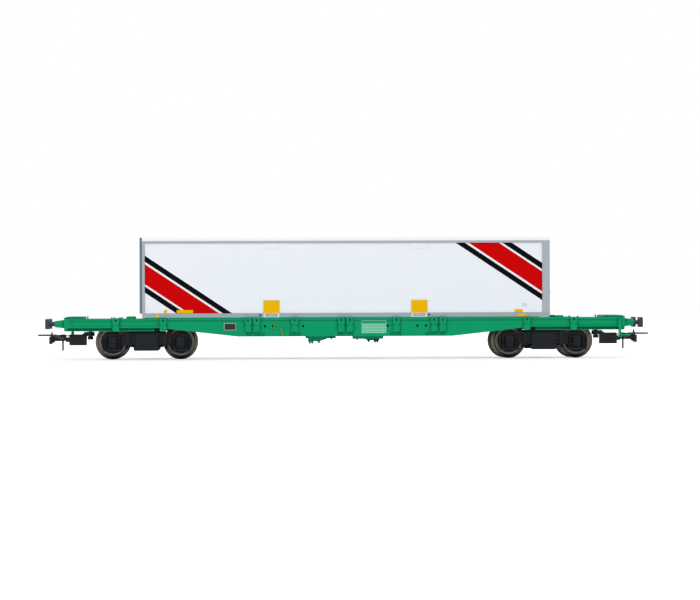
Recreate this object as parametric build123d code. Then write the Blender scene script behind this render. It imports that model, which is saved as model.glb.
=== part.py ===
from build123d import *
import os

# Bogie container flat wagon with one long container, an H0 model at 1:87, all in millimetres.
# +X runs to the right end, -Y is the near side, +Z is up.
# The origin is on the floor below the middle of the wagon, where the wheel flanges stand.

# Wheelsets
flange_radius = 6.6
tread_radius = 5.4
back_to_back = 14.4
wheel_width = 2.8
flange_thickness = 0.8
axle_radius = 1.0
journal_radius = 0.5
journal_reach = 0.75
hub_radius = 1.9
rim_depth = 1.1
web_dish = 0.8

# Bogies
pivot_distance = 150.4
wheelbase = 25.7
side_frame_thickness = 1.2
side_frame_rise = 3.4
wheel_side_gap = 1.4
frame_overhang = 3.9
frame_corner = 0.6
frame_rib = 0.7
axle_box_width = 3.0
axle_box_depth = 1.5
spring_radius = 0.85
spring_offset = 2.45
spring_height = 3.9
spring_turns = 5
spring_groove = 0.22
spring_plate_drop = 3.4
spring_plate_thickness = 0.8
centre_block_drop = 3.3
centre_arch_radius = 2.2
hanger_offset = 5.9
hanger_width = 1.3
hanger_gap = 1.4
frame_flat_half = 9.0
brake_arm_place = 6.0
bolster_half_length = 4.1
bearer_height = 1.6
side_bearer_height = 2.9
side_bearer_half = 4.6
side_bearer_width = 3.2
bearer_gap = 0.1
shoe_gap = 0.3
shoe_thickness = 0.9
brake_beam_radius = 0.5
running_gap = 0.08
pin_radius = 1.5
pin_head_radius = 2.3

# Underframe
headstock_distance = 212.4
wagon_width = 30.0
sill_depth = 6.9
sill_top_rise = 5.45
sill_web = 0.4
sill_flange = 0.5
flange_proud = 0.2
belly_flat = 81.2
belly_length = 141.2
ledge_drop = 3.55
end_web_drop = 4.75
end_web_length = 144.4
end_web_setback = 0.9
ledge_thickness = 0.3
groove_depth = 0.15
groove_height = 0.4
groove_drop = 0.75
pocket_depth = 0.3
pocket_margin = 0.25
bracket_width = 2.6
bracket_waist = 0.3
bracket_thickness = 0.5
bracket_drop = 4.85
belly_bracket_drop = 5.3
bracket_lip = 0.2
bracket_hole_radius = 0.4
sill_hole_radius = 0.45
sill_hole_drop = 3.0
cross_member_thickness = 1.0
shallow_depth = 1.2
centre_beam_spacing = 5.4
centre_beam_width = 1.0
centre_beam_depth = 2.6
headstock_thickness = 1.4
deck_length = 7.4
deck_height = 0.8
deck_skin = 0.4
deck_wall = 0.6
deck_peg = 0.5
lift_gap = 0.05
pad_height = 0.25
spigot_radius = 0.55
spigot_height = 0.8
spigot_spacing = 25.96
spigot_inset = 8.81
spigot_pad = 3.0
spigot_gusset = 0.8
outer_bracket_reach = 9.0
flat_spigot_gap = 2.1
flat_spigot_length = 3.0
flat_spigot_height = 0.85
ear_height = 0.6
member_hole_spacing = 19.2
boss_radius = 3.2
lever_plate_x = 10.4
lever_plate_length = 7.6
lever_plate_depth = 2.8
brake_plate_x = 8.45
brake_plate_length = 11.7
brake_plate_depth = 1.0
knob_spacing = 8.2
knob_radius = 0.3
label_board_x = 43.7
label_board_length = 4.6
label_board_height = 2.8
label_board_drop = 4.55
handle_x = 26.9
handle_length = 1.7
handle_thickness = 0.3
handle_width = 0.3
handle_drop = 2.3
slant_handle_x = 24.1
slant_handle_length = 2.9
slant_handle_run = 0.6
step_inset = 1.95
step_ring_radius = 0.95
step_ring_drop = 6.65
step_arm_reach = 3.9
pull_rod_y = 1.5
pull_rod_radius = 0.4
pull_rod_drop = 4.3
pull_rod_length = 112.0
reservoir_radius = 2.2
cylinder_radius = 1.7
cylinder_length = 5.5
brake_drop = 3.3

# Buffers and couplings
buffer_spacing = 20.12
buffer_drop = 1.95
housing_length = 3.7
housing_height = 3.15
plunger_radius = 0.85
plunger_length = 2.0
head_thickness = 1.55
head_width = 5.2
head_height = 3.9
coupling_pivot_inset = 9.4
coupling_pin_radius = 0.6
arm_height = 1.6
arm_width = 3.2
pocket_length = 6.6
pocket_height = 4.2
pocket_seat = 0.7
pocket_width = 3.9
neck_length = 1.3
neck_root = 5.0
coupler_length = 6.5
coupler_width = 5.4
coupler_height = 3.3
loop_width = 10.4
loop_strip = 0.8
loop_reach = 9.3
loop_rise = 1.2
loop_pin_radius = 0.3
trip_pin_length = 4.7

# Container
container_length = 155.4
container_width = 28.7
container_height = 30.55
wall = 0.9
panel_inset = 0.2
bottom_rail_height = 1.6
top_rail_height = 1.2
roof_height = 1.25
floor_thickness = 1.0
front_post_width = 1.0
rear_post_width = 2.9
pad_plate_width = 6.0
pad_plate_height = 4.8
pad_plate_spacing = 56.0
rod_radius = 0.35
door_rod_places = (3.2, 9.4)
door_setback = 0.3
hinge_height = 0.8
hinge_reach = 2.0
wall_drop = 0.3

# Levels and places worked out from the sizes above
axle_z = flange_radius
bogie_top_z = axle_z + side_frame_rise
sill_top_z = bogie_top_z + sill_top_rise
belly_z = sill_top_z - sill_depth
web_out = wagon_width / 2 - bracket_thickness - flange_proud
web_in = web_out - sill_web
flange_out = web_out + flange_proud
pivot_x = pivot_distance / 2
wheel_out = back_to_back / 2 + wheel_width
frame_in = wheel_out + wheel_side_gap
frame_out = frame_in + side_frame_thickness
box_out = frame_out + axle_box_depth
centre_block_width = wheelbase - 2 * hanger_offset - hanger_width - 2 * hanger_gap
headstock_x = headstock_distance / 2
beam_bottom_z = sill_top_z - centre_beam_depth
coupling_x = headstock_x - coupling_pivot_inset
arm_top_z = bogie_top_z + 0.4
pad_top_z = sill_top_z + pad_height
container_z = pad_top_z + lift_gap
roof_z = container_z + container_height - roof_height
top_rail_z = roof_z - top_rail_height
half_container = container_length / 2
half_width = container_width / 2
panel_out = half_width - panel_inset

support_x = half_container - spigot_inset
outer_bracket_x = half_container + outer_bracket_reach
sill_end_x = headstock_x - headstock_thickness
ledge_z = sill_top_z - ledge_drop
pull_rod_z = sill_top_z - pull_rod_drop
door_face_x = half_container - door_setback

# Folded spigot brackets on each side sill, by their distance from mid-length
belly_brackets = (1.615, 19.25, 33.64, 36.87)
# Shallow pockets below those brackets: distance from mid-length, length
pockets = ((0.0, 6.0), (19.0, 4.2), (33.9, 6.8))
sill_holes = (16.0, 27.3, 30.5)

# Cross members: distance from mid-length, depth below the sill top
reservoir_member_x = 17.6
outer_member_reach = 11.35
outer_member_x = pivot_x + outer_member_reach
end_member_x = (outer_member_x + sill_end_x) / 2
deep = sill_depth - 1.2
cross_members = (
    (0.0, deep),
    (reservoir_member_x, deep),
    (35.2, deep),
    (52.0, ledge_drop + 0.25),
    (62.0, shallow_depth),
    (outer_member_x, shallow_depth),
    (end_member_x, shallow_depth),
)


def block(x, y, z):
    """Box between (low, high) pairs along each axis."""
    size = (x[1] - x[0], y[1] - y[0], z[1] - z[0])
    centre = ((x[0] + x[1]) / 2, (y[0] + y[1]) / 2, (z[0] + z[1]) / 2)
    return Pos(*centre) * Box(*size)


def plate_xz(points, y0, y1):
    """Side-view outline, thickened from y0 to y1."""
    face = make_face(Polyline(*[(x, y0, z) for x, z in points], close=True))
    return extrude(face, amount=y1 - y0, dir=(0, 1, 0))


def rounded_xz(points, y0, y1, radius):
    """Side-view outline with rounded corners, thickened from y0 to y1."""
    face = make_face(Polyline(*[(x, y0, z) for x, z in points], close=True))
    face = fillet(face.vertices(), radius)
    return extrude(face, amount=y1 - y0, dir=(0, 1, 0))


def plate_yz(points, x0, x1):
    """End-view outline, thickened from x0 to x1."""
    face = make_face(Polyline(*[(x0, y, z) for y, z in points], close=True))
    return extrude(face, amount=x1 - x0, dir=(1, 0, 0))


def plate_xy(points, z0, z1):
    """Plan outline, thickened from z0 to z1."""
    face = make_face(Polyline(*[(x, y, z0) for x, y in points], close=True))
    return extrude(face, amount=z1 - z0, dir=(0, 0, 1))


def rod_x(x0, x1, y, z, radius):
    """Round bar along X."""
    return Pos((x0 + x1) / 2, y, z) * Rot(0, 90, 0) * Cylinder(radius, x1 - x0)


def rod_y(x, y0, y1, z, radius):
    """Round bar along Y."""
    return Pos(x, (y0 + y1) / 2, z) * Rot(90, 0, 0) * Cylinder(radius, y1 - y0)


def rod_z(x, y, z0, z1, radius):
    """Upright round bar."""
    return Pos(x, y, (z0 + z1) / 2) * Cylinder(radius, z1 - z0)


def both_ways(points):
    """Half outline given for +X, closed by its mirror image."""
    return [(x, z) for x, z in points] + [(-x, z) for x, z in reversed(points) if x > 0]


def across(shape):
    """A piece and its mirror image on the other side of the wagon."""
    return [shape, mirror(shape, about=Plane.XZ)]


def ends(shape):
    """A piece and its mirror image at the other end."""
    return [shape, mirror(shape, about=Plane.YZ)]


def turned(shape):
    """A piece and its copy turned half round, on the other side and end."""
    return [shape, Rot(0, 0, 180) * shape]


def save(name, shapes):
    """One file per sub-part, holding all its separate solids."""
    solids = [solid for shape in shapes for solid in shape.solids()]
    export_step(Compound(children=solids), f"parts/{name}.step")


def sill_outline():
    """Fish-belly outline of a side sill."""
    return both_ways([
        (sill_end_x, sill_top_z),
        (sill_end_x, ledge_z),
        (belly_length / 2, ledge_z),
        (belly_flat / 2, belly_z),
    ])


def end_web():
    """Lower web of the sill beside a bogie, set back under a ledge, with an outturned lip at its foot."""
    bottom = sill_top_z - end_web_drop
    x = (end_web_length / 2, sill_end_x)
    y = (web_in - end_web_setback, web_in - end_web_setback + sill_web)
    ledge = block(x, (y[0], flange_out), (ledge_z, ledge_z + ledge_thickness))
    web = block(x, y, (bottom, ledge_z))
    lip = block(x, (y[1], web_out - flange_proud), (bottom, bottom + ledge_thickness))
    return ledge + web + lip


def side_sill():
    """Fish-belly side sill with a groove, recessed end panels, pockets below the spigots, and holes."""
    groove_z = sill_top_z - groove_drop
    outside = flange_out + 1
    sill = plate_xz(sill_outline(), web_in, flange_out)
    skin = (flange_out - groove_depth, outside)
    sill = sill - block((-sill_end_x, sill_end_x), skin, (groove_z - groove_height, groove_z))
    panel_x = (belly_length / 2 + sill_flange, sill_end_x - headstock_thickness)
    panel = block(panel_x, (web_out, outside), (ledge_z + sill_flange, groove_z))
    for side in ends(panel):
        sill = sill - side
    for side in ends(end_web()):
        sill = sill + side
    pocket_z = (belly_z + pocket_margin, sill_top_z - belly_bracket_drop - pocket_margin)
    for x, length in pockets:
        pocket_x = (x - length / 2, x + length / 2)
        pocket = block(pocket_x, (flange_out - pocket_depth, outside), pocket_z)
        for side in ends(pocket) if x > 0 else [pocket]:
            sill = sill - side
    for x in sill_holes:
        for side in (-x, x):
            sill = sill - rod_y(side, web_in - 1, outside, sill_top_z - sill_hole_drop, sill_hole_radius)
    return sill


def bracket(x, lip, drop=bracket_drop):
    """Folded spigot outside the sill: waisted plate with a pin hole, a hinge line and a lip over the top."""
    half = bracket_width / 2
    waist = half - bracket_waist
    y = (flange_out, flange_out + bracket_thickness)
    top = sill_top_z + lip
    foot = sill_top_z - drop
    fold = sill_top_z - drop / 2
    plate = plate_xz([
        (x - half, top), (x - half, fold + 0.6), (x - waist, fold + 0.3), (x - waist, fold - 0.3),
        (x - half, fold - 0.6), (x - half, foot + 0.5), (x - half + 0.5, foot), (x + half - 0.5, foot),
        (x + half, foot + 0.5), (x + half, fold - 0.6), (x + waist, fold - 0.3), (x + waist, fold + 0.3),
        (x + half, fold + 0.6), (x + half, top),
    ], y[0], y[1])
    hinge_line = block((x - half, x + half), (y[1] - 0.15, y[1] + 1), (fold - 0.1, fold + 0.1))
    plate = plate - hinge_line - rod_y(x, y[0] - 1, y[1] + 1, sill_top_z - 0.75, bracket_hole_radius)
    if lip > 0:
        plate = plate + block((x - half, x + half), (web_in, y[0]), (sill_top_z, top))
    return plate


def spigot_ears(x):
    """Pair of ears beside the outer bracket, standing above the sill top."""
    half = bracket_width / 2
    ears = []
    for side in (-1, 1):
        edge = x + side * (half + 0.25)
        z = (sill_top_z, sill_top_z + ear_height)
        ears.append(block((edge - 0.25, edge + 0.25), (web_in, flange_out), z))
    return ears


def upright_spigot():
    """Pad with a gusset under it and the cone that the container stands on and is held by."""
    y = spigot_spacing / 2
    x = (support_x - spigot_pad / 2, support_x + spigot_pad / 2)
    pad = block(x, (y - spigot_pad / 2, flange_out), (sill_top_z, pad_top_z))
    gusset = block(x, (y - spigot_pad / 2, web_in), (sill_top_z - spigot_gusset, sill_top_z))
    cone = Pos(support_x, y, pad_top_z + spigot_height / 2) * Cone(
        spigot_radius, spigot_radius * 0.6, spigot_height)
    return pad + gusset + cone


def flat_spigot():
    """Folded spigot block on the sill top, just outside the container."""
    x = half_container + flat_spigot_gap
    y = (web_in - 0.5, flange_out - 0.3)
    body = block((x, x + flat_spigot_length), y, (sill_top_z, sill_top_z + flat_spigot_height))
    return chamfer(body.edges().filter_by(Axis.Y).group_by(Axis.Z)[-1], 0.3)


def deck_peg_pin():
    """Small peg on the sill just inboard of the end deck."""
    x = headstock_x + 0.1 - deck_length - deck_peg
    y = (web_out + web_in) / 2
    return rod_z(x, y, sill_top_z, sill_top_z + deck_height + 0.15, deck_peg / 2)


def cross_member(x, depth):
    """Pressed plate between the sills, with round lightening holes where it is deep."""
    half = cross_member_thickness / 2
    plate = block((x - half, x + half), (-web_in, web_in), (sill_top_z - depth, sill_top_z))
    if depth >= deep:
        for y in (-member_hole_spacing / 2, member_hole_spacing / 2):
            plate = plate - rod_x(x - 1, x + 1, y, sill_top_z - depth / 2, depth * 0.3)
        plate = plate - rod_x(x - 1, x + 1, pull_rod_y, pull_rod_z, pull_rod_radius + 0.05)
    return plate


def centre_beam():
    """Draw-gear beam from the bolster out to the headstock."""
    y = centre_beam_spacing / 2
    x = (pivot_x + bolster_half_length, sill_end_x)
    beam = block(x, (y - centre_beam_width, y), (beam_bottom_z, sill_top_z))
    half = cross_member_thickness / 2
    for member_x in (outer_member_x, end_member_x):
        gap_x = (member_x - half, member_x + half)
        beam = beam - block(gap_x, (0, y + 1), (sill_top_z - shallow_depth, sill_top_z + 1))
    return beam


def body_bolster():
    """Cross beam over a bogie with its centre boss, ribs, wear plates and pivot pin."""
    x = (pivot_x - bolster_half_length, pivot_x + bolster_half_length)
    beam = block(x, (-web_in, web_in), (sill_top_z - shallow_depth, sill_top_z))
    boss_z = bogie_top_z + bearer_height + 0.1
    boss = rod_z(pivot_x, 0, boss_z, sill_top_z - shallow_depth, boss_radius)
    pin = rod_z(pivot_x, 0, axle_z - 1.0, boss_z, pin_radius)
    head = rod_z(pivot_x, 0, axle_z - 1.8, axle_z - 1.0, pin_head_radius)
    wear_z = (bogie_top_z + side_bearer_height, sill_top_z - shallow_depth)
    for side in (-1, 1):
        wear_y = sorted(side * edge for edge in (frame_in - side_bearer_width + 0.3, frame_in - 0.3))
        beam = beam + block((pivot_x - 2.2, pivot_x + 2.2), wear_y, wear_z)
        y = [side * edge for edge in (boss_radius - 0.2, boss_radius + 4.0)]
        rib = plate_yz([
            (y[0], sill_top_z - shallow_depth), (y[0], boss_z + 0.3), (y[1], sill_top_z - shallow_depth),
        ], pivot_x - 0.5, pivot_x + 0.5)
        boss = boss + rib
    return beam + boss + pin + head


def headstock():
    """End beam with buffer pads and the hook opening."""
    x = (sill_end_x, headstock_x)
    z = (sill_top_z - end_web_drop, sill_top_z)
    half = flange_out
    beam = plate_yz([
        (-half, z[1]), (-half, z[0] + 1.2), (-half + 1.6, z[0]),
        (half - 1.6, z[0]), (half, z[0] + 1.2), (half, z[1]),
    ], x[0], x[1])
    return beam - block((x[0] - 1, x[1] + 1), (-1.3, 1.3), (sill_top_z - 2.9, sill_top_z - 1.2))


def end_deck():
    """Raised hollow plate over the headstock, its outer edge bevelled and its corners rounded."""
    x1 = headstock_x + 0.1
    x0 = x1 - deck_length
    z = (sill_top_z, sill_top_z + deck_height)
    half = web_in
    deck = plate_xz([(x0, z[0]), (x0, z[1]), (x1 - 1.2, z[1]), (x1, z[0] + 0.3), (x1, z[0])], -half, half)
    deck = fillet(deck.faces().sort_by(Axis.X)[0].edges().filter_by(Axis.Z), 0.6)
    hollow_y = (-half + deck_wall, half - deck_wall)
    return deck - block((x0 + deck_wall, x1 - 1.6), hollow_y, (z[0] - 1, z[1] - deck_skin))


def buffer_housing(y):
    """Square-based housing that narrows to a round nose."""
    x = headstock_x
    z = sill_top_z - buffer_drop
    half = housing_height / 2
    base = block((x, x + 0.5), (y - half - 0.4, y + half + 0.4), (z - half, z + half))
    base_face = Plane(origin=(x + 0.5, y, z), z_dir=(1, 0, 0)) * RectangleRounded(2 * half, 2 * half, 0.5)
    nose_face = Plane(origin=(x + housing_length, y, z), z_dir=(1, 0, 0)) * Circle(half * 0.78)
    return base + loft([base_face, nose_face], ruled=True)


def buffer_head(y):
    """Plunger and rectangular head with rounded corners."""
    x = headstock_x + housing_length
    z = sill_top_z - buffer_drop
    plunger = rod_x(x, x + plunger_length, y, z, plunger_radius)
    plane = Plane(origin=(x + plunger_length, y, z), z_dir=(1, 0, 0))
    # the sketch's own x runs across the wagon here
    face = plane * RectangleRounded(head_height, head_width, 0.9)
    if face.bounding_box().size.Y < face.bounding_box().size.Z:
        face = plane * RectangleRounded(head_width, head_height, 0.9)
    head = extrude(face, amount=head_thickness, dir=(1, 0, 0))
    head = fillet(head.faces().sort_by(Axis.X)[-1].edges(), 0.35)
    return plunger + head


def corner_step():
    """Shunter's grip on the outer face of the sill's end: bar, ring below the sill and short arm."""
    x = headstock_x - step_inset
    y = (-wagon_width / 2, -flange_out)
    z = sill_top_z - step_ring_drop
    bar = block((x - 0.55, x + 0.55), y, (z + step_ring_radius - 0.25, sill_top_z - 0.7))
    ring = rod_y(x, y[0], y[1], z, step_ring_radius)
    ring = ring - rod_y(x, y[0] - 1, y[1] + 1, z, step_ring_radius - 0.45)
    arm = rod_x(x + step_ring_radius - 0.2, x + step_arm_reach, sum(y) / 2, z, (y[1] - y[0]) / 2)
    return bar + ring + arm


def lever_bracket():
    """Toothed brake lever bracket hung under the near sill."""
    # teeth as shares of the plate's length and depth
    teeth = (
        (0.0, 0.0), (0.0, 0.57), (0.05, 1.0), (0.12, 1.0), (0.14, 0.71), (0.17, 1.0), (0.24, 1.0),
        (0.29, 0.64), (0.47, 0.68), (0.50, 0.93), (0.57, 0.93), (0.61, 0.61), (0.92, 0.36), (1.0, 0.0),
    )
    x0 = -lever_plate_x - lever_plate_length / 2
    outline = [(x0 + u * lever_plate_length, belly_z - v * lever_plate_depth) for u, v in teeth]
    return plate_xz(outline, -flange_out, -web_in)


def brake_plate():
    """Long low plate under the near sill with two knobs below it."""
    half = brake_plate_length / 2
    low = belly_z - brake_plate_depth
    plate = block((brake_plate_x - half, brake_plate_x + half), (-flange_out, -web_in), (low, belly_z))
    for x in (brake_plate_x - knob_spacing / 2, brake_plate_x + knob_spacing / 2):
        plate = plate + rod_z(x, -(flange_out + web_in) / 2, low - 0.5, low, knob_radius)
    return plate


def label_board():
    """Blank board on the near sill."""
    half = label_board_length / 2
    z = sill_top_z - label_board_drop
    board = block((-label_board_x - half, -label_board_x + half), (-flange_out - 0.25, -flange_out),
                  (z, z + label_board_height))
    return chamfer(board.faces().sort_by(Axis.Y)[0].edges(), 0.1)


def lever_handles():
    """Two thin painted handles on the near sill: one upright, one slanting a little."""
    y = (-flange_out - handle_thickness, -flange_out)
    half = handle_width / 2
    top = sill_top_z - handle_drop
    upright = block((-handle_x - half, -handle_x + half), y, (top - handle_length, top))
    low = belly_z + 0.2
    run = slant_handle_run / 2
    slant = plate_xz([
        (-slant_handle_x - run - half, low + slant_handle_length),
        (-slant_handle_x - run + half, low + slant_handle_length),
        (-slant_handle_x + run + half, low),
        (-slant_handle_x + run - half, low),
    ], y[0], y[1])
    return [upright, slant]


def coupling_carrier():
    """Block under the draw-gear beams with the coupling's pivot pin and its head."""
    y = centre_beam_spacing / 2
    seat = block((coupling_x - 2.4, coupling_x + 2.4), (-y, y), (beam_bottom_z - 0.8, beam_bottom_z))
    neck = rod_z(coupling_x, 0, arm_top_z + 0.1, beam_bottom_z - 0.8, 1.4)
    low = arm_top_z - arm_height - 0.1
    pin = rod_z(coupling_x, 0, low, arm_top_z + 0.1, coupling_pin_radius)
    head = rod_z(coupling_x, 0, low - 1.2, low, 1.05)
    return seat + neck + pin + head


def air_reservoir():
    """Domed air tank slung between two cross members."""
    half = cross_member_thickness / 2
    tank = rod_x(half, reservoir_member_x - half, -4.6, sill_top_z - brake_drop, reservoir_radius)
    return fillet(tank.edges().filter_by(GeomType.CIRCLE), 0.5)


def brake_cylinder():
    """Brake cylinder with its push rod and upright lever, seated on a cross member."""
    x0 = -reservoir_member_x + cross_member_thickness / 2
    x1 = x0 + cylinder_length
    y = 4.8
    z = sill_top_z - brake_drop
    body = rod_x(x0, x1, y, z, cylinder_radius)
    flange = rod_x(x1, x1 + 0.6, y, z, cylinder_radius + 0.3)
    push = rod_x(x1 + 0.6, x1 + 3.7, y, z, 0.45)
    lever = block((x1 + 3.7, x1 + 4.5), (1.0, y + 0.8), (z - 0.5, z + 0.5))
    return body + flange + push + lever


def pull_rods():
    """Main brake rod along the wagon through the cross members."""
    half = pull_rod_length / 2
    return [rod_x(-half, half, pull_rod_y, pull_rod_z, pull_rod_radius)]


def side_frame(centre_x):
    """One bogie side frame for the far side: rounded web, rim, axle boxes, spring seats and brake hangers."""
    reach = wheelbase / 2 + frame_overhang
    drop = axle_z - spring_plate_drop
    low = axle_z - 1.0
    rim_out = frame_out + frame_rib
    spring_in = wheelbase / 2 - spring_offset - spring_radius - 0.1
    seat_z = drop + spring_plate_thickness + spring_height
    outline = both_ways([
        (0.0, bogie_top_z), (frame_flat_half, bogie_top_z), (reach, bogie_top_z - 0.9), (reach, drop + 1.4),
        (reach - 0.9, drop), (wheelbase / 2 - 2.8, drop), (wheelbase / 2 - 3.8, low), (0.0, low),
    ])
    inner = both_ways([
        (0.0, bogie_top_z - 0.6), (frame_flat_half - 0.1, bogie_top_z - 0.6),
        (reach - 0.5, bogie_top_z - 1.45), (reach - 0.5, drop + spring_plate_thickness),
        (spring_in, drop + spring_plate_thickness), (spring_in, low + 0.6), (0.0, low + 0.6),
    ])
    rim = plate_xz(outline, frame_out, rim_out) - plate_xz(inner, frame_out - 0.01, rim_out + 1)
    frame = plate_xz(outline, frame_in, frame_out) + rim
    upright = frame.edges().filter_by(Axis.Y).group_by(Axis.X)
    for corner in (upright[0], upright[-1]):
        frame = fillet(corner.group_by(Axis.Z)[-1], frame_corner)
    for side in (-1, 1):
        u = side * wheelbase / 2
        half = axle_box_width / 2
        box_z = (axle_z - 2.2, axle_z + 2.0)
        box = block((u - half, u + half), (frame_out - 0.3, box_out - 0.3), box_z)
        box = fillet(box.edges().filter_by(Axis.Y), 0.4)
        cap = rod_y(u, box_out - 0.3, box_out, axle_z - 0.1, 1.25)
        shelf = block((u - spring_offset - 1.1, u + spring_offset + 1.1), (frame_out - 0.3, box_out - 0.2),
                      (drop, drop + spring_plate_thickness))
        frame = frame + box + cap + shelf
        for step in (-1, 1):
            seat_u = u + step * spring_offset
            seat_x = (seat_u - spring_radius, seat_u + spring_radius)
            seat_y = (frame_out - 0.3, frame_out + spring_radius)
            frame = frame + block(seat_x, seat_y, (seat_z, seat_z + 0.6))
            frame = frame + rod_z(seat_u, frame_out + spring_radius, seat_z, seat_z + 0.6, spring_radius)
        frame = frame + brake_hanger(side * (wheelbase / 2 - hanger_offset), low)
    bearing_depth = journal_reach + wheel_side_gap - 0.5
    for side in (-1, 1):
        u = side * wheelbase / 2
        frame = frame - rod_y(u, frame_in - 1, frame_in + bearing_depth, axle_z, journal_radius + running_gap)
    return Pos(centre_x, 0, 0) * frame


def brake_hanger(u, low):
    """Upright hanger bracket on the side frame, with a round eye at its foot."""
    half = hanger_width / 2
    y = (frame_out - 0.3, box_out - 0.4)
    plate = block((u - half, u + half), y, (low, bogie_top_z - 0.3))
    return plate + rod_y(u, y[0], y[1], low, half) - rod_y(u, y[0] - 1, y[1] + 1, low, 0.25)


def centre_block(centre_x):
    """Block hung at the middle of a side frame: wide foot, arch over it and two upright ribs."""
    half = centre_block_width / 2
    low = axle_z - centre_block_drop
    top = bogie_top_z - 0.6
    foot_top = low + 1.5
    y0 = frame_out + frame_rib
    y1 = box_out - 0.2
    outline = both_ways([
        (half - 0.5, top), (half - 0.5, foot_top + 0.1), (half, foot_top - 0.2),
        (half, low + 0.5), (half - 0.5, low),
    ])
    body = plate_xz(outline, y0, y1)
    arch = Pos(0, (y0 + box_out) / 2, foot_top) * Rot(90, 0, 0) * Cylinder(centre_arch_radius, box_out - y0)
    arch = arch - Pos(0, y1 + 0.5, foot_top) * Rot(90, 0, 0) * Cylinder(centre_arch_radius - 0.5, 1.0)
    arch = arch & block((-half, half), (y0, box_out), (foot_top, top))
    body = body + arch + block((-half + 0.4, half - 0.4), (y1, box_out), (low + 0.3, foot_top))
    for side in (-1, 1):
        x = side * (half - 1.1)
        body = body + block((x - 0.2, x + 0.2), (y1, box_out), (foot_top, top))
    return Pos(centre_x, 0, 0) * body


def spring_turned(x, y, low):
    """One coil spring, turned from a profile with a groove between its turns."""
    core = spring_radius - spring_groove
    pitch = spring_height / spring_turns
    profile = [(0, low), (core, low)]
    for turn in range(spring_turns):
        z = low + turn * pitch
        profile += [(spring_radius, z + pitch * 0.25), (spring_radius, z + pitch * 0.75), (core, z + pitch)]
    profile.append((0, low + spring_height))
    face = make_face(Polyline(*[(r, 0, z) for r, z in profile], close=True))
    return Pos(x, y, 0) * revolve(face, Axis.Z)


def axle_springs(centre_x):
    """Coil springs each side of the axle boxes."""
    low = axle_z - spring_plate_drop + spring_plate_thickness
    y = frame_out + spring_radius
    springs = []
    for side in (-1, 1):
        for step in (-1, 1):
            springs.append(spring_turned(centre_x + side * wheelbase / 2 + step * spring_offset, y, low))
    return springs


def bogie_bolster(centre_x):
    """Cross beam of the bogie with the pivot bore, centre plate and side bearers."""
    half = bolster_half_length
    low = axle_z + 0.0
    beam = block((-half, half), (-frame_in, frame_in), (low, bogie_top_z))
    plate_top = bogie_top_z + bearer_height
    beam = beam + rod_z(0, 0, bogie_top_z, plate_top, 3.0)
    bearer_top = bogie_top_z + side_bearer_height - bearer_gap
    bearer = both_ways([
        (side_bearer_half - 0.3, bearer_top),
        (side_bearer_half, bearer_top - 0.5),
        (side_bearer_half, bogie_top_z),
    ])
    for side in (-1, 1):
        y = sorted((side * (frame_in - side_bearer_width), side * frame_in))
        beam = beam + plate_xz(bearer, y[0], y[1])
    beam = beam - rod_z(0, 0, low - 1, plate_top + 1, pin_radius + running_gap)
    beam = beam - rod_z(0, 0, low - 1, low + 0.6, 2.6)
    return Pos(centre_x, 0, 0) * beam


def brake_gear(centre_x):
    """Brake beams with curved shoes just clear of the treads, carried by the bolster."""
    gear = []
    shoe_in = tread_radius + shoe_gap
    shoe_out = shoe_in + shoe_thickness
    y = (wheel_out - 1.7, wheel_out - 0.2)
    for side in (-1, 1):
        u = side * wheelbase / 2
        beam_u = side * (wheelbase / 2 - flange_radius - shoe_gap - brake_beam_radius)
        ring = Cylinder(shoe_out, 2 * y[1]) - Cylinder(shoe_in, 2 * y[1] + 1)
        rim = Pos(u, 0, axle_z) * Rot(90, 0, 0) * ring
        window_x = sorted(side * (wheelbase / 2 - edge) for edge in (shoe_out + 0.1, shoe_in - 1.0))
        shoe_z = (axle_z - 2.4, axle_z + 1.8)
        shoes = rim & (block(window_x, y, shoe_z) + block(window_x, (-y[1], -y[0]), shoe_z))
        beam = rod_y(beam_u, -wheel_out - 0.6, wheel_out + 0.6, axle_z - 1.4, brake_beam_radius)
        link_x = sorted((beam_u, side * (wheelbase / 2 - shoe_out + 0.3)))
        for link_y in (y, (-y[1], -y[0])):
            beam = beam + block(link_x, link_y, (axle_z - 1.8, axle_z - 1.0))
        for arm_y in (-brake_arm_place, brake_arm_place):
            x = sorted((side * (bolster_half_length - 0.6), beam_u))
            beam = beam + block(x, (arm_y - 0.5, arm_y + 0.5), (axle_z - 1.8, axle_z - 0.0))
        gear.append(Pos(centre_x, 0, 0) * (beam + shoes))
    return gear


def wheel():
    """Far-side wheel turned about the axle: flange, coned tread, dished web and hub."""
    y0 = back_to_back / 2
    y1 = y0 + wheel_width
    root = y0 + flange_thickness
    rim = tread_radius - rim_depth
    profile = Polyline(
        (0, y0, axle_radius), (0, y0, flange_radius - 0.35), (0, y0 + 0.2, flange_radius),
        (0, root - 0.3, flange_radius), (0, root, tread_radius + 0.15), (0, root + 0.2, tread_radius),
        (0, y1 - 0.2, tread_radius - 0.05), (0, y1, tread_radius - 0.25), (0, y1, rim),
        (0, y1 - web_dish, rim - 0.3), (0, y1 - web_dish, hub_radius + 0.2),
        (0, y1 - 0.2, hub_radius), (0, y1 - 0.2, axle_radius), close=True)
    return revolve(make_face(profile), Axis.Y)


def wheelset(x):
    """Wheel pair and axle at one place along the wagon."""
    place = Pos(x, 0, axle_z)
    wheels = [place * part for part in across(wheel())]
    shoulder = wheel_out - 0.2
    axle = place * rod_y(0, -shoulder, shoulder, 0, axle_radius)
    tip = frame_in + journal_reach
    axle = axle + place * rod_y(0, -tip, tip, 0, journal_radius)
    return wheels, [axle]


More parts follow.
